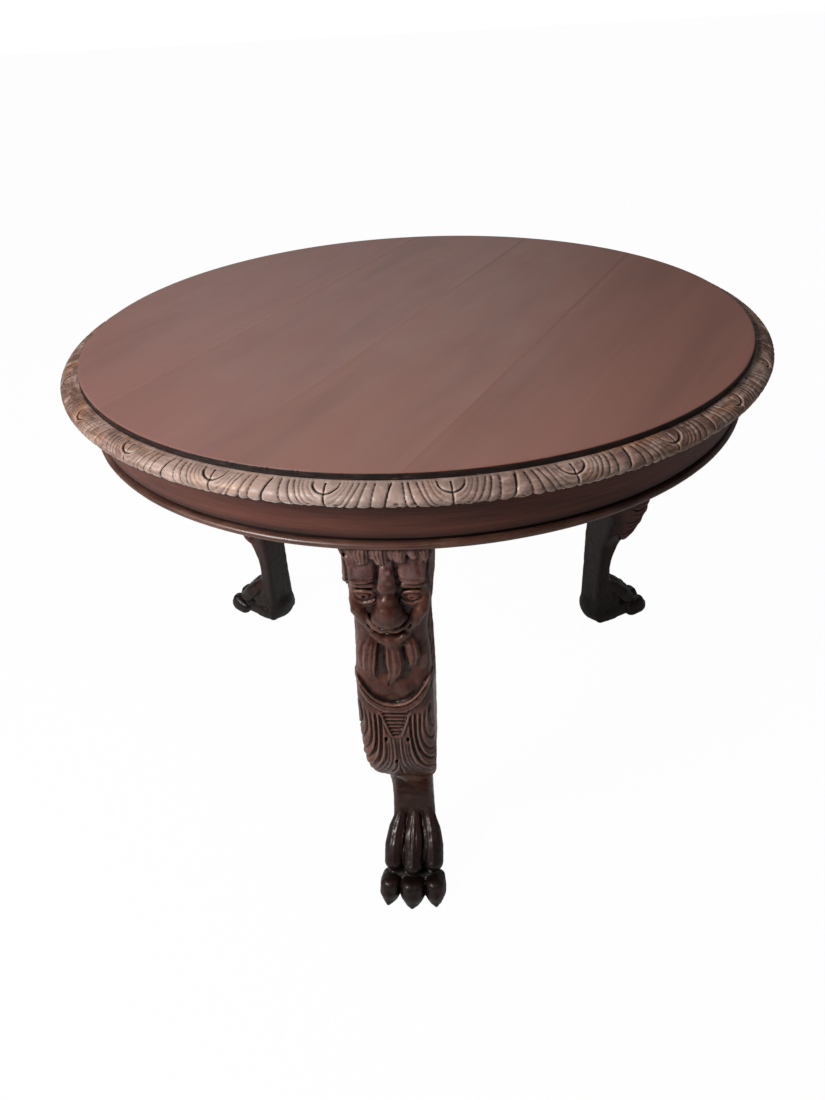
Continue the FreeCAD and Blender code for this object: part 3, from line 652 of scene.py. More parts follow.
def carve_leaf_end(clay):
    """The leaf's three lobes over the shank."""
    clay.egg((-57, 2, 206), (12.5, 22, 24), k=5)
    clay.egg((-57, -21, 217), (13, 14, 16), k=3)
    clay.egg((-57, 26, 217), (13, 14, 16), k=3)


def carve_paw(clay):
    """Heel, instep, three long knuckles and three toes with claws."""
    clay.egg((-52, 1, 44), (45, 35, 50), k=8)
    clay.egg((-82, 0, 26), (24, 37, 33), k=5)
    clay.block((-34, 0, 16), (42, 41, 17), 12, k=5)
    clay.block((-66, 0, 12), (26, 40, 14), 10, k=6)
    clay.egg((-44, 1, 42), (30, 36, 36), k=6)
    for y, foot in ((2, 1), (26, 33), (-22, -29.5)):
        back = 5 if abs(foot) > 9 else 0
        middle = (y + foot) / 2
        path = [(-70, y * 0.8, 117, 3), (-66.5, y * 0.88, 106, 7),
                (-59 - back * 0.3, y * 0.97, 94, 10.5),
                (-44 - back * 0.7, middle, 81, 13.6), (-25 - back, foot * 0.98, 63, 15.8),
                (-6 - back * 1.6, foot, 45, 15.2)]
        clay.rope(path, k=3.5)
        for across in (-3.2, 3.6):
            crease = [(px + r * 0.76, py + across * r / 15.5, pz + r * 0.7, r * 0.05)
                      for px, py, pz, r in path[2:]]
            clay.rope(crease, k=2.5, carve=True)
    for side, start in ((-1, -12), (1, 14.5)):
        clay.rope([(-62, start * 0.72, 108, 0.5), (-50, start * 0.9, 94, 1.2),
                   (-30, start + side * 1.5, 78, 1.6),
                   (-6, start + side * 3, 60, 1.8)], k=1.5, carve=True, flat=3.5)
    for foot, x, wide, yaw in ((1, 13.2, 20.5, 0), (35.5, 8.5, 17.5, 0.12),
                               (-33.5, 8.5, 17, -0.12)):
        clay.block((x - 1, foot, 15), (25, wide, 17), 11, k=1, yaw=yaw, tilt=-0.42, point=0.3)
        clay.block((x + 9, foot + yaw * 8, 9), (20, wide * 0.82, 11), 6, k=4, yaw=yaw, tilt=-0.1,
                   point=0.8)
        tip = x + 26.5
        for across in (-0.4, 0.0, 0.42):
            clay.rope([(x + 6, foot + yaw * 6 + across * wide, 27, 0.6),
                       (x + 15, foot + yaw * 14 + across * wide, 24, 1.4),
                       (tip - 5, foot + yaw * 24 + across * wide * 0.7, 14, 1.6),
                       (tip, foot + yaw * 27, 3, 1.2)], k=4)


def leg_clay(step):
    """The whole carved leg as clay."""
    clay = Clay((-112, -68, -4), (45, 68, POST_TOP + 4), step)
    knee = slab(KNEE, 217, SHOULDER + 10, dip=26, rise=55)
    clay.put(knee, (-110, -70, 180), (30, 70, SHOULDER + 3))
    carve_chest(clay)
    carve_face(clay)
    carve_leaf_end(clay)
    unroll(clay)
    clay.put(slab(SHANK, 20, 286), (-110, -56, 10), (0, 56, 294), k=2.5)
    carve_paw(clay)
    clay.field += 0.2 * uneven(clay, 9, 21) + 0.12 * uneven(clay, 4, 22)
    # flat on the floor and under the frieze
    up = clay.axes[2]
    clay.field = np.maximum(np.maximum(clay.field, -up), up - SHOULDER)
    ring = FRIEZE_RADIUS - FRIEZE_THICK - GLUE_GAP

    def post(x, y, z):
        radius = np.sqrt((x + LEG_FACE) ** 2 + y**2)
        side = np.maximum(np.abs(y) - POST_HALF, ring - POST_DEEP - (x + LEG_FACE))
        ends = np.maximum(SHOULDER - 30 - z, z - POST_TOP)
        return np.maximum(np.maximum(radius - ring, side), ends)

    clay.put(post, (-110, -60, SHOULDER - 40), (10, 60, POST_TOP + 3))
    return clay


def uneven(clay, size, seed):
    """Soft random hollows and swellings about so many millimetres apart, as a knife leaves."""
    rng = np.random.default_rng(seed)
    counts = [int((a[-1] - a[0]) / size) + 2 for a in clay.axes]
    grid = rng.normal(0, 1, counts).astype(np.float32)
    for axis, places in enumerate(clay.axes):
        where = (places - places[0]) / size
        base = where.astype(int)
        part = where - base
        part = (part * part * (3 - 2 * part)).astype(np.float32)
        part = part.reshape([-1 if a == axis else 1 for a in range(3)])
        grid = np.take(grid, base, axis) * (1 - part) + np.take(grid, base + 1, axis) * part
    return grid


def unroll(clay):
    """Carves the relief into the knee, chest and head; it runs round the corners onto the sides."""
    relief = Relief(130, 186, 660)
    carve_leaves(relief)
    carve_panel(relief)
    carve_mane(relief)
    carve_collar(relief)
    x, y, z = clay.axes
    near = np.argwhere(np.abs(clay.field) < 14)
    near = near[(z[near[:, 2]] > 187) & (z[near[:, 2]] < 660)]
    px, py, pz = x[near[:, 0]], y[near[:, 1]], z[near[:, 2]]
    face, _, half, corner = lerp_table(KNEE, pz)
    behind = np.maximum(face - corner - px, 0)
    u = np.sign(py) * (np.minimum(np.abs(py), half) + behind)
    # the relief fades where the back begins, and on the face above the collar the mask takes over
    fade = np.clip((px + 86) / 10, 0, 1)
    clay.field[tuple(near.T)] -= (relief.at(u, pz) * fade).astype(np.float32)


def build_legs(material):
    """The carved leg, set in its three places."""
    step = CLAY_STEP
    clay = leg_clay(step)
    points, faces = clay.skin()
    points, faces = thin_out(points, faces, FACES_KEPT)
    # how hollow each place is, against its near and its wide surroundings, for the wood's painted
    # shade and highlight
    near, wide = max(1, round(3.2 / step)), max(1, round(6.5 / step))
    hollow = clay.sample(clay.field - box_blur(clay.field, near), points)
    deep = clay.sample(clay.field - box_blur(box_blur(clay.field, wide), wide), points)
    depth, across, along = points.T
    values = {"hollow": hollow, "deep": deep, **grain_places(along, across, depth)}
    r, t = depth + LEG_FACE, across + np.interp(along, *zip(*LEAN))
    for name, turn in LEG_TURNS.items():
        c, s = math.cos(math.radians(turn)), math.sin(math.radians(turn))
        placed = np.stack([r * c - t * s, r * s + t * c, along], 1)
        mesh_object("carved_" + name, placed, [faces], material, name, values)


def thin_out(points, faces, share):
    """Fewer faces for the same shape."""
    mesh = bpy.data.meshes.new("rough")
    mesh.from_pydata(points.tolist(), [], faces.tolist())
    rough = linked("rough", mesh)
    rough.modifiers.new("thin", "DECIMATE").ratio = share
    graph = bpy.context.evaluated_depsgraph_get()
    thin = bpy.data.meshes.new_from_object(rough.evaluated_get(graph))
    points = np.empty(len(thin.vertices) * 3, np.float32)
    thin.vertices.foreach_get("co", points)
    thin.calc_loop_triangles()
    corners = np.empty(len(thin.loop_triangles) * 3, np.int32)
    thin.loop_triangles.foreach_get("vertices", corners)
    bpy.data.objects.remove(rough)
    bpy.data.meshes.remove(mesh)
    bpy.data.meshes.remove(thin)
    return points.reshape(-1, 3).astype(float), corners.reshape(-1, 3)


# Turned and ringed pieces


def ring_piece(name, rings, along, material, node, values=None):
    """A closed body from columns of closed sections, each (column, row, xyz) in millimetres."""
    columns, rows = rings.shape[:2]
    index = np.arange(columns * rows).reshape(columns, rows)
    nxt = np.roll(index, -1, axis=1)
    quads = np.stack([index[:-1], index[1:], nxt[1:], nxt[:-1]], -1).reshape(-1, 4)
    points = rings.reshape(-1, 3)
    full = grain_places(np.repeat(along, rows), points[:, 2], np.hypot(points[:, 0], points[:, 1]))
    full.update({key: value.ravel() for key, value in (values or {}).items()})
    faces = [quads, index[:1], index[-1:, ::-1]]
    piece = mesh_object(name, points, faces, material, node, full)
    # the two ends meet the sides in a crisp edge
    edges = np.empty(len(piece.data.edges) * 2, np.int32)
    piece.data.edges.foreach_get("vertices", edges)
    column = edges.reshape(-1, 2) // rows
    sharp = (column[:, 0] == column[:, 1]) & np.isin(column[:, 0], (0, columns - 1))
    piece.data.attributes.new("sharp_edge", "BOOLEAN", "EDGE").data.foreach_set("value", sharp)


def rounded_section(corners, bevel):
    """A closed section of (radius, height) corners, each eased by a small bevel."""
    out = []
    count = len(corners)
    for i in range(count):
        before, here, after = (np.array(corners[j % count], float) for j in (i - 1, i, i + 1))
        for other, t in ((before, 1), (before, 0.3), (after, 0.3), (after, 1)):
            way = other - here
            length = math.hypot(*way)
            out.append(here + way / length * min(bevel, length * 0.4) * t)
    return np.array(out)


def revolve(section, angles, radial=0):
    """Section points (radius, height) turned to each angle; radial adds to the radius."""
    radius, height = np.broadcast_arrays(section[..., 0] + radial, section[..., 1])
    a = angles[:, None]
    return np.stack([radius * np.cos(a), radius * np.sin(a), height], -1)


def wander(values, seed, waves=6, longest=1.0):
    """A slow, seeded wander between about -1 and 1."""
    rng = np.random.default_rng(seed)
    total = 0
    for i in range(waves):
        turns = values * 2 * math.pi / longest * 1.7**i
        total = total + np.sin(turns + rng.uniform(0, 6.3)) * 0.75**i
    return total / 3


def build_frieze(frieze_wood, bead_wood):
    """The frieze ring in three lengths, its quirk, and the bead below."""
    out, low, high = FRIEZE_RADIUS, FRIEZE_LOW, FRIEZE_HIGH
    inner, seat, quirk = out - FRIEZE_THICK, out - 10, out - 4
    corners = [(inner, low), (seat, low), (seat, BEAD_HIGH), (quirk, BEAD_HIGH), (quirk, QUIRK_TOP)]
    corners += [(out, QUIRK_TOP), (out, high), (inner, high)]
    section = rounded_section(corners, 0.9)
    bottom, top, back = low + 0.05, BEAD_HIGH - 0.05, seat + GLUE_GAP
    middle, half = (low + BEAD_HIGH) / 2, (BEAD_HIGH - low) / 2
    nose = [(BEAD_RADIUS - 5.4 + 5.2 * math.cos(t), middle + half * math.sin(t))
            for t in np.linspace(-math.pi / 2, math.pi / 2, 11)]
    bead = np.array([(back, bottom), *nose, (back, top)])
    bead[:, 1] = np.clip(bead[:, 1], bottom, top)
    for k, centre in enumerate((-30, 90, -150)):
        segment = f"segment_{k + 1}"
        angles = np.radians(np.linspace(centre - HALF_SEGMENT, centre + HALF_SEGMENT, 241))
        # the wander dies away at the joints
        calm = np.clip((60 - np.abs(np.degrees(angles) - centre)) / 4, 0, 1)[:, None]
        wave = wander(angles, k + 3, longest=0.5)[:, None] * 0.25 * calm
        knock = wander(angles, k + 13, waves=9, longest=0.4)[:, None] * 0.22 * calm - 0.25
        rings = revolve(section, angles, wave * (section[:, 0] > inner + 2) * 0.6 - 0.15)
        bead_rings = revolve(bead, angles, knock * (bead[:, 0] > seat + 3))
        along = angles * out
        ring_piece(f"frieze_{k + 1}", rings, along, frieze_wood, "apron_" + segment)
        ring_piece(f"bead_{k + 1}", bead_rings, along, bead_wood, "bead_" + segment)


# The carved edge

MOTIF_TURN = 15  # degrees from shell to shell
LIP = 3.0  # plain edge above the carving
SHELL_WIDE, SHELL_TALL = 16.5, 21
CARVED_RADIUS = RIM_RADIUS - 9
MM_PER_DEGREE = 9.2
CHIPS_PER_LENGTH = 150
RIM_PITCH, QUICK_RIM_PITCH = 0.85, 1.8  # millimetres between the face's places


def motif_depth(d, s, side, sway, edge):
    """Depth below the uncut wood: d along from the nearest shell, s down the section, both in mm.

    side is +1 or -1 by the side of the shell, edge is how far down the lower arris runs."""
    half = math.radians(MOTIF_TURN) * CARVED_RADIUS / 2
    down = np.clip((s - LIP) / (edge - LIP), 0, 1.3)
    rise = np.clip(s - LIP, 0, None)

    def loop(a, b):
        return a * np.sqrt(np.clip(1 - (rise / b) ** 2, 0, 1))

    # lines that part the flutes, from the shell outwards, with each flute's depth and fullness
    flutes = [
        (loop(SHELL_WIDE, SHELL_TALL), 2.6, 0.5),
        (loop(21 + sway[0], 28), 1.5, 0.22),
        (loop(25 + sway[1], 34.5), 1.7, 0.22),
        (loop(30 + sway[2], 47) - 1.5 * down, 2.2, 0.24),
        (38 + sway[3] - 17 * down**1.5, 2.6, 0.27),
        (46 + sway[4] - 11 * down**1.6, 2.9, 0.3),
        (54.5 + sway[5] - 5.5 * down**1.3, 2.9, 0.3),
        (half + side * (4.2 - 8.4 * down), 3.0, 0.3),
    ]
    low_edge = np.clip((s - (edge - 9)) / 9, 0, 1)
    # the shell is a shallow dome with a crisp lower edge
    radial = np.sqrt((d / SHELL_WIDE) ** 2 + (rise / SHELL_TALL) ** 2)
    dome = 2.2 - 2.0 * np.sqrt(np.clip(1 - radial**2, 0, 1))
    depth = np.where(radial < 1, dome, np.zeros_like(d + s))
    for (before, _, _), (after, deep, full) in zip(flutes, flutes[1:]):
        share = np.clip((d - before) / np.maximum(after - before, 0.3), 0, 1)
        hollow = 1 - (4 * share * (1 - share)) ** full
        # each flute is cut deeper on the side away from the shell, like overlapping leaves
        here = deep * hollow + 0.35 * share * deep * 0.5 + low_edge**2 * 3.2 * hollow
        depth = np.where((d >= before) & (d < after), here, depth)
    last, deep, _ = flutes[-1]
    share = np.clip((d - last) / 8, 0, 1)
    depth = np.where(d >= last, deep * (1 - share**0.5), depth)

    def cut(away, wide, deep):
        return deep * np.clip(1 - (away / wide) ** 2, 0, 1)

    depth += cut(np.abs(d - last), 0.9, 1.8) * (s < edge)
    # line under the shell, then its eye and slit
    depth += cut(np.abs(radial - 1) * 18, 1.5, 2.4) * np.clip((rise - 6) / 6, 0, 1)
    depth += cut(np.hypot(d, s - 8), 2.6**0.5, 3.2)
    depth += cut(np.abs(d * side - 0.05 * (s - 20)), 0.8, 2.8) * ((s > 8) & (s < edge + 2))
    fade = np.clip((s - LIP) / 3.5, 0, 1)
    return depth * (0.25 + 0.75 * fade) * np.clip(s / 1.5, 0, 1)


def rim_section():
    """The moulding's uncut section down from its inner edge, and its hidden back."""
    out, inner, lap = RIM_RADIUS - 0.15, PLATE_RADIUS + GLUE_GAP, PLATE_RADIUS - RIM_LAP
    crown = RIM_HIGH - 12
    front = [(inner, RIM_HIGH - 0.4), (inner + 1.2, RIM_HIGH), (inner + 4.5, RIM_HIGH - 0.1)]
    for a in np.linspace(0.15, 1, 9) * math.pi / 2:
        wide, tall = math.sin(a) ** 0.95, math.cos(a) ** 1.1
        front.append((inner + 4.5 + (out - inner - 4.5) * wide, crown + 11.9 * tall))
    for a in np.linspace(0.12, 1, 9) * math.pi / 2:
        wide, tall = (1 - math.cos(a)) ** 1.2, math.sin(a) ** 1.12
        front.append((out - 22 * wide, crown - (crown - RIM_LOW - 3) * tall))
    front.append((PLATE_RADIUS + 4.5, RIM_LOW + 0.3))
    back = [(lap + 1, RIM_LOW), (lap, RIM_LOW + 1), (lap, PLATE_FOOT - 1.2)]
    back += [(lap + 1, PLATE_FOOT - 0.2), (PLATE_RADIUS - 0.5, PLATE_FOOT - 0.2),
             (inner, PLATE_FOOT)]
    return np.array(front), np.array(back)


def rim_face(front, pitch):
    """Even steps down the moulding's face: how far down, (radius, height) and the way out."""
    run = np.concatenate([[0], np.cumsum(np.hypot(*np.diff(front, axis=0).T))])
    s = np.linspace(0, run[-1], int(run[-1] / pitch))
    profile = np.stack([np.interp(s, run, column) for column in front.T], 1)
    for _ in range(3):
        profile[1:-1] = (profile[:-2] + 2 * profile[1:-1] + profile[2:]) / 4
    way = np.gradient(profile, axis=0)
    normal = np.stack([-way[:, 1], way[:, 0]], 1)
    normal /= np.hypot(*normal.T)[:, None]
    if normal[len(s) // 2, 0] < 0:
        normal = -normal
    return s, profile, normal


def rim_depth(k, angle, start, s, lower):
    """Depth of the carving on one length of the moulding, and how far down its lower arris runs."""
    rng = np.random.default_rng(70 + k)
    local = (angle - start) / MOTIF_TURN
    number = np.clip(np.floor(local).astype(int), 0, 3)
    d = (local - number - 0.5) * MOTIF_TURN / 180 * math.pi * CARVED_RADIUS
    side = np.sign(d)
    sway = rng.normal(0, 0.9, (4, 2, 8))[number, (side > 0).astype(int)].T[:, :, None]
    wobble = wander(angle, 31 + k, longest=9)[:, None] * 0.6
    drop = lower + wander(angle, 51 + k, waves=8, longest=5)[:, None]
    d = np.abs(d[:, None] + wobble * np.sin(s / 9))
    depth = motif_depth(d, s + 0 * d, side[:, None], sway, drop)
    # below the flutes' ends the wood is undercut
    past = np.clip((s - drop) / 1.2, 0, 1)
    depth = depth * (1 - 0.5 * past) + 4.2 * past
    # handled most at the left, where the carving has lost some of its depth
    depth = depth * (1 - 0.35 * np.exp(-(((angle + 150) / 28) ** 2)))[:, None]
    # knife marks and small chips
    knife = wander(angle * 3, 91 + k, waves=10, longest=3)[:, None] * np.cos(s * 0.35 + k)
    depth = depth + 0.14 * knife
    for _ in range(CHIPS_PER_LENGTH):
        at, down = rng.uniform(angle[0], angle[-1]), lower + rng.normal(-0.5, 3)
        size = rng.uniform(0.9, 3.2)
        near = (((angle - at) * MM_PER_DEGREE) ** 2)[:, None] + (s - down) ** 2
        depth = depth + rng.uniform(0.3, 1.5) * np.exp(-((near / size**2) ** 2))
    depth = soften(np.clip(depth, 0, 7.5)) * np.clip(s / 1.5, 0, 1)
    return depth * np.clip((s[-1] - s) / 3, 0, 1), drop


def build_rim(material):
    """Six carved lengths with four shells each."""
    front, back = rim_section()
    pitch = RIM_PITCH
    s, profile, normal = rim_face(front, pitch)
    lower = s[np.argmax(profile[:, 1] < RIM_LOW + 7.5)]
    columns, rows = int(60 / 360 * 2 * math.pi * RIM_RADIUS / pitch), len(s) + len(back)
    blur = round(2.6 / pitch)

    def with_back(shown, hidden=0):
        """Values for the carved face and for the hidden back."""
        full = np.full((columns, rows), hidden, float)
        full[:, : len(s)] = shown
        return full

    for k in range(len(nodes_called("rim_moulding"))):
        start = -90 + RIM_PHASE + 60 * k - (360 if k > 2 else 0)
        angle = np.linspace(start + 0.004, start + 59.996, columns)  # a hair short of each joint
        turned = np.radians(angle)
        depth, drop = rim_depth(k, angle, start, s, lower)
        shown = profile[None] - normal[None] * depth[..., None]
        whole = np.concatenate([shown, np.broadcast_to(back[None], (columns, len(back), 2))], 1)
        # painted highlight on the carved lower tips, patchy and most at the front left
        tips = np.clip((s - drop + 8) / 3, 0, 1) * np.clip((drop + 2 - s) / 2, 0, 1)
        patchy = np.clip(0.7 + 0.9 * wander(angle, 12, waves=6, longest=4), 0, 1)
        values = {
            # hollow and sunk set the painted shade in the cuts and the painted highlight on the
            # crests
            "hollow": with_back(depth - blur_rows(blur_rows(depth, blur).T, blur).T),
            "sunk": with_back(depth),
            "tip_highlight": with_back(np.clip(tips * (wear_and_tip_highlight_places(turned) * patchy)[:, None], 0, 1)),
            "uncarved": with_back(np.clip((s - lower - 6) / 4, 0, 1), 1),
            # painted light: the front of the moulding, where the light falls, is made paler
            "front_painted_light": np.repeat(np.exp(-(((angle + 98) / 24) ** 2)), rows),
        }
        name = f"rim_moulding_{k + 1}"
        rings, along = revolve(whole, turned), turned * RIM_RADIUS
        ring_piece("carved_" + name, rings, along, material, name, values)


def soften(grid):
    """Rounds the sharpest steps between neighbouring places."""
    wide = np.pad(grid, 1, mode="edge")
    rows = (wide[:-2] + 2 * wide[1:-1] + wide[2:]) / 4
    return (rows[:, :-2] + 2 * rows[:, 1:-1] + rows[:, 2:]) / 4


def blur_rows(grid, reach):
    """The mean along the first axis over 2 * reach + 1 places."""
    size = 2 * reach + 1
    total = np.cumsum(np.pad(grid, ((reach + 1, reach), (0, 0)), mode="edge"), axis=0)
    return (total[size:] - total[:-size]) / size


# The boarded top

ARC_STEPS = 700  # points along the end of a board


def build_top(materials):
    """Four boards whose ends and edges make the disc; the arris is eased, worn and chipped."""
    edges = [-PLATE_RADIUS - 5, -SEAM_PITCH, 0, SEAM_PITCH, PLATE_RADIUS + 5]
    # height, how far the end and the seam stand back, and the share of the chips
    levels = [
        (PLATE_FOOT, 0.4, 0.02, 0),
        (PLATE_FOOT + 0.5, 0, 0.02, 0),
        (RIM_HIGH, 0, 0.02, 0),
        (TOP - 6.6, 0, 0.02, 0.5),
        (TOP - 5.6, 0.25, 0.02, 0.7),
        (TOP - 4.6, 0.05, 0.02, 0.7),
        (TOP - 2.4, 0.1, 0.02, 1.0),
        (TOP - 0.9, 0.35, 0.02, 1.2),
        (TOP - 0.2, 1.1, 0.03, 1.4),
        (TOP, 2.2, 0.08, 1.4),
        (TOP, 6, 6, 0),
        (TOP, 12, 12, 0),
    ]
    heights = np.array([level[0] for level in levels])[:, None, None]
    c, s = math.cos(GRAIN_TURN), math.sin(GRAIN_TURN)
    turn = np.array([[c, -s], [s, c]])
    for number, name in enumerate(sorted(nodes_called("top_board"), key=board_place)):
        loops = []
        for _, inset, seam, chip in levels:
            r = PLATE_RADIUS - inset
            a0 = -math.pi / 2 if number == 0 else math.asin((edges[number] + seam) / r)
            a1 = math.pi / 2 if number == 3 else math.asin((edges[number + 1] - seam) / r)
            ends = (a0, a1), (math.pi - a1, math.pi - a0)
            arc = np.concatenate([np.linspace(*end, ARC_STEPS) for end in ends])
            radius = r - chips(arc + GRAIN_TURN) * chip
            loops.append(np.stack([radius * np.cos(arc), radius * np.sin(arc)], 1))
        xy = np.array(loops)
        if number in (0, 3):
            xy = xy[:, keep_apart(xy[2])]
        count = xy.shape[1]
        up = np.broadcast_to(heights, (len(levels), count, 1))
        points = np.concatenate([xy @ turn.T, up], 2).reshape(-1, 3)
        index = np.arange(len(levels) * count).reshape(len(levels), count)
        nxt = np.roll(index, -1, 1)
        quads = np.stack([index[:-1], nxt[:-1], nxt[1:], index[1:]], -1).reshape(-1, 4)
        faces = [quads, index[:1, ::-1], index[-1:]]
        values = grain_places(*xy.reshape(-1, 2).T, points[:, 2])
        wood = materials[number]
        piece = mesh_object("boards_" + name, points, faces, wood, name, values)
        piece.data.set_sharp_from_angle(angle=math.radians(50))


def keep_apart(loop):
    """Which points of a loop aren't on top of the one before."""
    step = np.hypot(*(loop - np.roll(loop, 1, axis=0)).T)
    return step > 1e-6


def board_place(name):
    """Where a board's middle lies across the grain."""
    low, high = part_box(name)
    middle = (low + high) / 2 / MM
    return -middle.x * math.sin(GRAIN_TURN) + middle.y * math.cos(GRAIN_TURN)


def wear_and_tip_highlight_places(angle):
    """How worn the edge is round the table, and where the carved tips get a painted highlight: most
    at the front left.
    """

    def spot(middle, reach):
        away = (np.degrees(angle) - middle + 180) % 360 - 180
        return np.exp(-((away / reach) ** 2))

    return spot(-103, 9) + 0.5 * spot(-118, 10)


def chips(angle):
    """Nicks along the plate's arris: few in most places, more at the front left."""
    fine = wander(angle, 5, waves=4, longest=0.09) + 0.4 * wander(angle, 6, waves=3, longest=0.03)
    worn = wear_and_tip_highlight_places(angle)
    return np.clip(fine - 0.85 + 0.75 * worn, 0, 1.2) * (0.5 + worn)


# Materials

# Tone, paler pink and darker streaks of each board of the top.
TOP_TONES = [
    ((140, 97, 86), (148, 101, 90), (124, 86, 76)),
    ((139, 98, 88), (145, 101, 90), (124, 87, 78)),
    ((139, 99, 91), (143, 101, 91), (125, 89, 82)),
    ((141, 101, 94), (146, 104, 95), (128, 91, 85)),
]


class Nodes:
    """A node tree built step by step."""

    def __init__(self, tree):
        self.tree = tree

    def node(self, kind, **inputs):
        item = self.tree.nodes.new(kind)
        for key, value in inputs.items():
            self.put(item.inputs[key.replace("_", " ")], value)
        return item

    def put(self, socket, value):
        """Joins a socket to another, or sets its value."""
        if isinstance(value, bpy.types.NodeSocket):
            self.tree.links.new(value, socket)
        else:
            socket.default_value = value

    def by_number(self, kind, *values, **settings):
        """A node whose inputs are given in order."""
        item = self.tree.nodes.new(kind)
        for key, value in settings.items():
            setattr(item, key, value)
        for socket, value in zip(item.inputs, values):
            self.put(socket, value)
        return item.outputs[0]

    def by_camera(self, unseen, seen, surface, share=1):
        """Joins one shader as the camera sees it, by a share, and another for all other light."""
        ray = self.node("ShaderNodeLightPath").outputs["Is Camera Ray"]
        if share < 1:
            ray = self.by_number("ShaderNodeMath", ray, share, operation="MULTIPLY")
        shaders = unseen.outputs[0], seen.outputs[0]
        self.put(surface, self.by_number("ShaderNodeMixShader", ray, *shaders))


class Wood(Nodes):
    """A material built up in layers of colour, given as 0 to 255."""

    def __init__(self, name):
        self.material = bpy.data.materials.new(name)
        self.material.use_nodes = True
        super().__init__(self.material.node_tree)
        self.shader = self.tree.nodes["Principled BSDF"]
        self.colour = None

    def attribute(self, name):
        item = self.tree.nodes.new("ShaderNodeAttribute")
        item.attribute_name = name
        return item.outputs["Fac"]

    def maths(self, operation, *values):
        return self.by_number("ShaderNodeMath", *values, operation=operation)

    def span(self, value, low, high, to_low=0.0, to_high=1.0):
        return self.by_number("ShaderNodeMapRange", value, low, high, to_low, to_high)

    def noise(self, where, scale=1.0, detail=4.0, rough=0.55, distortion=0.0):
        texture = self.node("ShaderNodeTexNoise", Vector=where, Scale=scale, Detail=detail)
        self.put(texture.inputs["Roughness"], rough)
        self.put(texture.inputs["Distortion"], distortion)
        return texture.outputs["Fac"]

    def grain(self, along, across, depth, shift=0.0, detail=4.0, rough=0.55, distortion=0.0):
        """Noise at so many turns per unit of the piece's length, width and depth."""
        scales = {"along": along, "across": across, "depth": depth}
        place = [self.maths("MULTIPLY_ADD", self.attribute(name), scale, shift)
                 for name, scale in scales.items()]
        where = self.by_number("ShaderNodeCombineXYZ", *place)
        return self.noise(where, 1.0, detail, rough, distortion)

    def ramp(self, value, *stops):
        """Colours at places between 0 and 1."""
        item = self.tree.nodes.new("ShaderNodeValToRGB")
        self.put(item.inputs[0], value)
        bar = item.color_ramp
        while len(bar.elements) < len(stops):
            bar.elements.new(0.5)
        for element, (place, colour) in zip(bar.elements, stops):
            element.position = place
            element.color = srgb(colour)
        return item.outputs[0]

    def tint(self, value, low, high, share, colour):
        """Lays a colour over the others, up to a share, as a value goes from low to high."""
        mix = self.tree.nodes.new("ShaderNodeMix")
        mix.data_type = "RGBA"
        self.put(mix.inputs[0], self.span(value, low, high, 0, share))
        self.put(mix.inputs[6], self.colour)
        self.put(mix.inputs[7], srgb(colour) if isinstance(colour, tuple) else colour)
        self.colour = mix.outputs[2]

    def bump(self, *layers):
        """Small relief from (height, depth in millimetres) layers."""
        normal = None
        for height, depth in layers:
            item = self.node("ShaderNodeBump", Height=height, Distance=depth * MM, Strength=1)
            if normal:
                self.put(item.inputs["Normal"], normal)
            normal = item.outputs[0]
        self.put(self.shader.inputs["Normal"], normal)

    def finish(self, roughness, specular=0.5, coat=0.0, coat_roughness=0.2):
        self.put(self.shader.inputs["Base Color"], self.colour)
        self.put(self.shader.inputs["Roughness"], roughness)
        self.put(self.shader.inputs["Specular IOR Level"], specular)
        self.put(self.shader.inputs["Coat Weight"], coat)
        self.put(self.shader.inputs["Coat Roughness"], coat_roughness)
        return self.material


def srgb(colour):
    """A colour of 0 to 255 as linear light, opaque."""
    light = [((v / 255 + 0.055) / 1.055) ** 2.4 if v > 10 else v / 255 / 12.92 for v in colour]
    return (*light, 1)


def top_board_wood(number, tone, pink, dark):
    """One board of the top: straight fine grain, a thin satin finish and a dark outer edge."""
    w = Wood(f"top_board_wood_{number}")
    shift = number * 7.3
    cloud = w.grain(0.25, 0.9, 1, shift, 3)
    band = w.grain(0.16, 1.7, 1, shift, 4, 0.55, 0.4)
    streak = w.grain(0.5, 30, 1, shift, 5, 0.62)
    pore = w.grain(3, 150, 1, shift, 3, 0.6)
    patch = w.grain(5, 5, 60, shift)
    height = w.attribute("depth")
    edge = w.ramp(patch, (0.4, (24, 18, 18)), (0.62, (46, 34, 33)), (0.75, (96, 76, 70)))
    bare = w.ramp(streak, (0.32, (84, 58, 43)), (0.62, (128, 93, 70)))
    w.colour = w.ramp(band, (0.2, dark), (0.5, tone), (0.8, pink))
    w.tint(streak, 0.35, 0.75, 0.3, dark)
    w.tint(cloud, 0.3, 0.75, 0.35, pink)
    w.tint(pore, 0.6, 0.78, 0.25, (70, 44, 38))
    w.tint(height, (TOP - 0.25) / UNIT, (TOP - 1.1) / UNIT, 1, edge)
    w.tint(height, (PLATE_FOOT + 0.4) / UNIT, (PLATE_FOOT + 0.1) / UNIT, 1, bare)
    w.bump((streak, 0.02), (pore, 0.03), (cloud, 0.1))
    return w.finish(w.span(w.grain(0.7, 1.6, 1, shift, 5), 0.3, 0.7, 0.4, 0.5), 0.3)


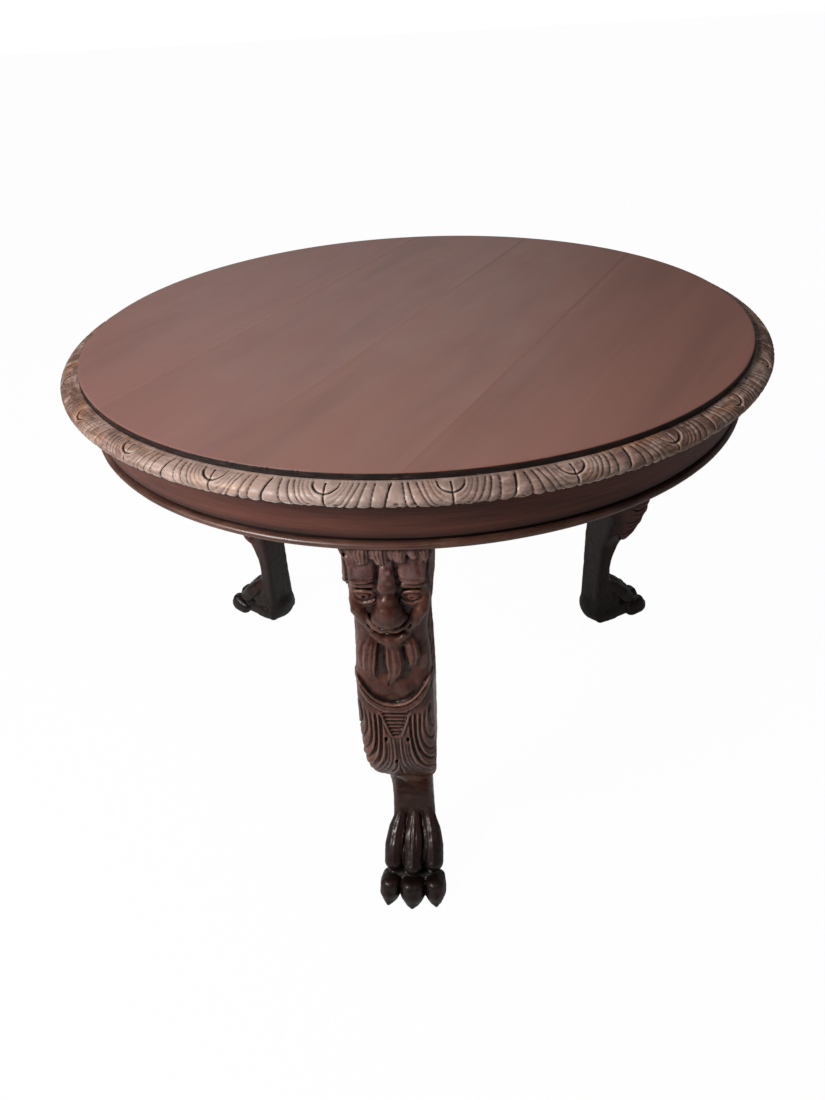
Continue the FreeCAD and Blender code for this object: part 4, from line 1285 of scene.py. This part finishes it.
def edge_wood():
    """Carved moulding: dark wax and painted shade in the cuts, crests paler from wear and painted
    highlight, painted light at the front, painted highlights on the lower tips at the front left.
    """
    w = Wood("carved_edge_wood")
    cloud = w.grain(0.6, 1.2, 1)
    tan = w.grain(1.1, 3, 3, 4, 3, 0.6)
    mottle = w.grain(5, 9, 9, 2, 4, 0.6)
    streak = w.grain(1.4, 40, 30, 0, 5, 0.6)
    speck = w.grain(16, 16, 16, 0, 3, 0.6)
    hollow = w.attribute("hollow")
    bare = w.ramp(streak, (0.32, (70, 46, 36)), (0.62, (104, 74, 58)))
    w.colour = w.ramp(cloud, (0.36, (98, 70, 60)), (0.5, (134, 104, 92)), (0.62, (166, 140, 128)))
    w.tint(tan, 0.53, 0.64, 0.75, (160, 110, 72))
    w.tint(mottle, 0.5, 0.6, 0.6, (76, 50, 41))
    w.tint(mottle, 0.46, 0.38, 0.55, (182, 158, 148))
    w.tint(streak, 0.46, 0.6, 0.5, (76, 50, 41))
    # paler crests: part wear, part painted highlight
    w.tint(hollow, -0.08, -0.8, 0.75, (194, 162, 144))
    # painted light: paler towards the front, where the light falls
    w.tint(w.attribute("front_painted_light"), 0, 1, 0.42, (206, 184, 174))
    # painted highlight: the lower tips go near white at the front left
    w.tint(w.attribute("tip_highlight"), 0, 1, 0.85, (228, 220, 218))
    # dark wax and painted shade: the cuts go near black by how hollow they are
    w.tint(hollow, 0.03, 0.6, 1, (26, 14, 11))
    # painted shade: the deepest cuts and the undercut below the flutes' ends go dark
    w.tint(w.attribute("sunk"), 3.4, 4.6, 0.8, (32, 18, 14))
    w.tint(speck, 0.6, 0.75, 0.35, (60, 40, 34))
    w.tint(w.attribute("uncarved"), 0, 1, 1, bare)
    w.bump((streak, 0.14), (speck, 0.16), (mottle, 0.3))
    return w.finish(w.span(mottle, 0.3, 0.7, 0.38, 0.56), 0.45)


def frieze_grain():
    """Reddish plain frieze, with painted shade at its foot, in its quirk and under it."""
    w = Wood("frieze_grain")
    cloud = w.grain(0.3, 1, 1, 0, 3)
    band = w.grain(0.5, 7, 2, 0, 5, 0.6, 0.6)
    streak = w.grain(1.2, 60, 20, 0, 5, 0.6)
    w.colour = w.ramp(band, (0.3, (68, 34, 28)), (0.5, (86, 46, 38)), (0.7, (100, 58, 47)))
    w.tint(streak, 0.45, 0.75, 0.5, (36, 21, 18))
    w.tint(cloud, 0.45, 0.75, 0.4, (88, 58, 46))
    # painted shade: darker over the frieze's lowest centimetre, near black in the quirk and below
    # it
    quirk = QUIRK_TOP / UNIT
    w.tint(w.attribute("across"), quirk + 0.1, quirk - 0.02, 0.92, (16, 8, 7))
    w.bump((streak, 0.07), (band, 0.05))
    return w.finish(w.span(streak, 0.3, 0.7, 0.38, 0.5), 0.25)


def bead_grain():
    """Dark bead, rubbed paler in places."""
    w = Wood("bead_grain")
    streak = w.grain(2, 50, 50, 0, 5, 0.6)
    worn = w.grain(1.5, 4, 4, 0, 4, 0.6)
    w.colour = w.ramp(streak, (0.35, (52, 30, 25)), (0.6, (86, 56, 46)))
    w.tint(worn, 0.5, 0.72, 0.5, (128, 92, 76))
    w.bump((streak, 0.06), (worn, 0.08))
    return w.finish(w.span(worn, 0.3, 0.7, 0.3, 0.42))


def leg_grain():
    """Dark carved leg: browner, a painted sheen on the head, crests on the head, collar and leaf
    paler from wear and painted highlight, painted shade in the cuts, hollows and at its back, near
    black at the paw.
    """
    w = Wood("leg_grain")
    cloud = w.grain(0.9, 1.6, 1.6)
    streak = w.grain(1.2, 36, 36, 0, 5, 0.6)
    mottle = w.grain(5, 7, 7, 0, 5, 0.65)
    along, hollow = w.attribute("along"), w.attribute("hollow")
    w.colour = w.ramp(cloud, (0.3, (46, 22, 16)), (0.5, (66, 34, 26)), (0.7, (92, 52, 39)))
    w.tint(streak, 0.45, 0.75, 0.45, (30, 15, 12))
    w.tint(mottle, 0.5, 0.7, 0.45, (104, 66, 52))
    # painted sheen: greyish mauve patches high on the head stand in for the light's sheen on it
    head = w.maths("MULTIPLY", w.span(along, 5.9, 6.2), w.span(mottle, 0.36, 0.62))
    w.tint(head, 0, 1, 0.5, (122, 98, 100))
    # paler crests: part wear, part painted highlight
    w.tint(hollow, -0.1, -1, 0.52, (140, 103, 90))
    # painted shade: near black in the broad hollows, such as the eye sockets, under the brows, the
    # mouth and between the tongues
    w.tint(w.attribute("deep"), 0.2, 3.4, 0.88, (12, 6, 5))
    # painted shade: the narrow cuts go near black
    w.tint(hollow, 0.04, 0.7, 0.93, (10, 5, 4))
    # painted shade: darker towards the back of the leg, which faces under the table
    w.tint(w.attribute("depth"), -0.62, -0.9, 0.8, (18, 9, 8))
    w.tint(along, 2.5, 0.5, 0.92, (14, 8, 7))
    dull = w.span(along, 2.5, 0.5, 0, 0.04)
    w.bump((streak, 0.1), (mottle, 0.25))
    rough = w.maths("ADD", w.span(mottle, 0.3, 0.7, 0.26, 0.46), dull)
    return w.finish(rough, 0.24, coat=0.1, coat_roughness=0.16)


def hidden_wood(name, dark, pale, stretch):
    """Plain undressed wood of the parts under the top, its streaks stretched along two axes."""
    w = Wood(name)
    where = w.node("ShaderNodeTexCoord").outputs["Object"]
    mapping = w.node("ShaderNodeMapping", Vector=where, Scale=stretch)
    streak = w.noise(mapping.outputs[0], 1.0, 5, 0.6)
    w.colour = w.ramp(streak, (0.32, dark), (0.62, pale))
    w.tint(w.noise(where, 9.0), 0.4, 0.7, 0.4, dark)
    w.bump((streak, 0.15))
    return w.finish(w.span(streak, 0.3, 0.7, 0.55, 0.75), 0.4)


def steel_look():
    """Grey steel with a few rusty specks."""
    w = Wood("steel")
    cloud = w.noise(w.node("ShaderNodeTexCoord").outputs["Object"], 60.0, 5)
    w.colour = w.ramp(cloud, (0.4, (92, 88, 84)), (0.58, (118, 112, 106)), (0.68, (84, 58, 42)))
    w.put(w.shader.inputs["Metallic"], 0.9)
    w.bump((cloud, 0.05))
    return w.finish(w.span(cloud, 0.3, 0.7, 0.35, 0.6))


def dress(start, material):
    """Gives the CAD pieces that stay as they are a material."""
    for name in nodes_called(start):
        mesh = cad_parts[name].data
        mesh.materials.clear()
        mesh.materials.append(material)


# Camera, light and stage

CAMERA_AZIMUTH = math.radians(-85)
CAMERA_DISTANCE = 2.5316 * PLATE_RADIUS
CAMERA_HEIGHT = TOP + 0.8426 * PLATE_RADIUS
CAMERA_HEADING = math.radians(95.96)
CAMERA_PITCH = math.radians(34.169)
CAMERA_ROLL = math.radians(-3.308)
CAMERA_LENS = 27.03


def place_camera():
    """The photographer's place: in front of one leg, looking down, slightly tilted."""
    camera = linked("camera", bpy.data.cameras.new("camera"))
    camera.location = (
        CAMERA_DISTANCE * math.cos(CAMERA_AZIMUTH) * MM,
        CAMERA_DISTANCE * math.sin(CAMERA_AZIMUTH) * MM,
        CAMERA_HEIGHT * MM,
    )
    level = Vector((math.cos(CAMERA_HEADING), math.sin(CAMERA_HEADING), 0))
    right = Vector((level.y, -level.x, 0))
    up = Vector((0, 0, 1))
    ahead = level * math.cos(CAMERA_PITCH) - up * math.sin(CAMERA_PITCH)
    above = up * math.cos(CAMERA_PITCH) + level * math.sin(CAMERA_PITCH)
    tilted_right = right * math.cos(CAMERA_ROLL) + above * math.sin(CAMERA_ROLL)
    tilted_up = above * math.cos(CAMERA_ROLL) - right * math.sin(CAMERA_ROLL)
    camera.rotation_euler = Matrix((tilted_right, tilted_up, -ahead)).transposed().to_euler()
    camera.data.sensor_width = 36
    camera.data.lens = CAMERA_LENS
    bpy.context.scene.camera = camera


def lamp(name, place, target, size, watts, colour=(1, 1, 1)):
    """A rectangular lamp that faces a target, in metres and watts."""
    data = bpy.data.lights.new(name, "AREA")
    data.shape = "RECTANGLE"
    data.size, data.size_y = size
    data.energy = watts
    data.color = colour
    item = linked(name, data)
    item.location = place
    item.rotation_euler = (Vector(target) - Vector(place)).to_track_quat("-Z", "Y").to_euler()


def light_stage():
    """Soft light from the left and above, weaker from the right and behind, and a pale floor."""
    lamp("key", (-1.45, -1.55, 1.9), (-0.1, -0.2, 0.6), (0.7, 0.7), 64, (1, 0.97, 0.94))
    lamp("fill", (2.6, -1.2, 1.6), (0, 0, 0.5), (1.8, 1.8), 1.5)
    lamp("back", (-0.6, 3.0, 2.6), (0, 0, 0.6), (2.4, 1.6), 12)
    world = bpy.data.worlds.new("world")
    bpy.context.scene.world = world
    world.use_nodes = True
    world.node_tree.nodes.clear()
    sky = Nodes(world.node_tree)
    soft, white = (sky.node("ShaderNodeBackground", Color=WHITE, Strength=s) for s in (0.15, 1))
    sky.by_camera(soft, white, sky.node("ShaderNodeOutputWorld").inputs["Surface"])
    mesh = bpy.data.meshes.new("floor")
    corners = [(x, y, 0) for x, y in ((-30, -30), (30, -30), (30, 30), (-30, 30))]
    mesh.from_pydata(corners, [], [(0, 1, 2, 3)])
    pale = Wood("pale_floor")
    pale.put(pale.shader.inputs["Base Color"], (0.8, 0.8, 0.8, 1))
    pale.put(pale.shader.inputs["Roughness"], 0.9)
    bright = pale.node("ShaderNodeEmission", Color=WHITE)
    surface = pale.tree.nodes["Material Output"].inputs["Surface"]
    pale.by_camera(pale.shader, bright, surface, 0.98)
    mesh.materials.append(pale.material)
    linked("floor", mesh)


place_camera()
light_stage()
build_top([top_board_wood(i, *tones) for i, tones in enumerate(TOP_TONES)])
build_rim(edge_wood())
build_frieze(frieze_grain(), bead_grain())
build_legs(leg_grain())
plain_wood = hidden_wood("plain_wood", (92, 62, 44), (140, 102, 74), (12, 12, 60))
for start in ("top_batten", "top_tongue", "glue_block", "leg_brace", "apron_dowels"):
    dress(start, plain_wood)
steel = steel_look()
for start in ("rim_screws", "brace_screws", "batten_screws", "leg_bolts", "bolt_"):
    dress(start, steel)

bpy.context.scene.view_settings.view_transform = "Standard"
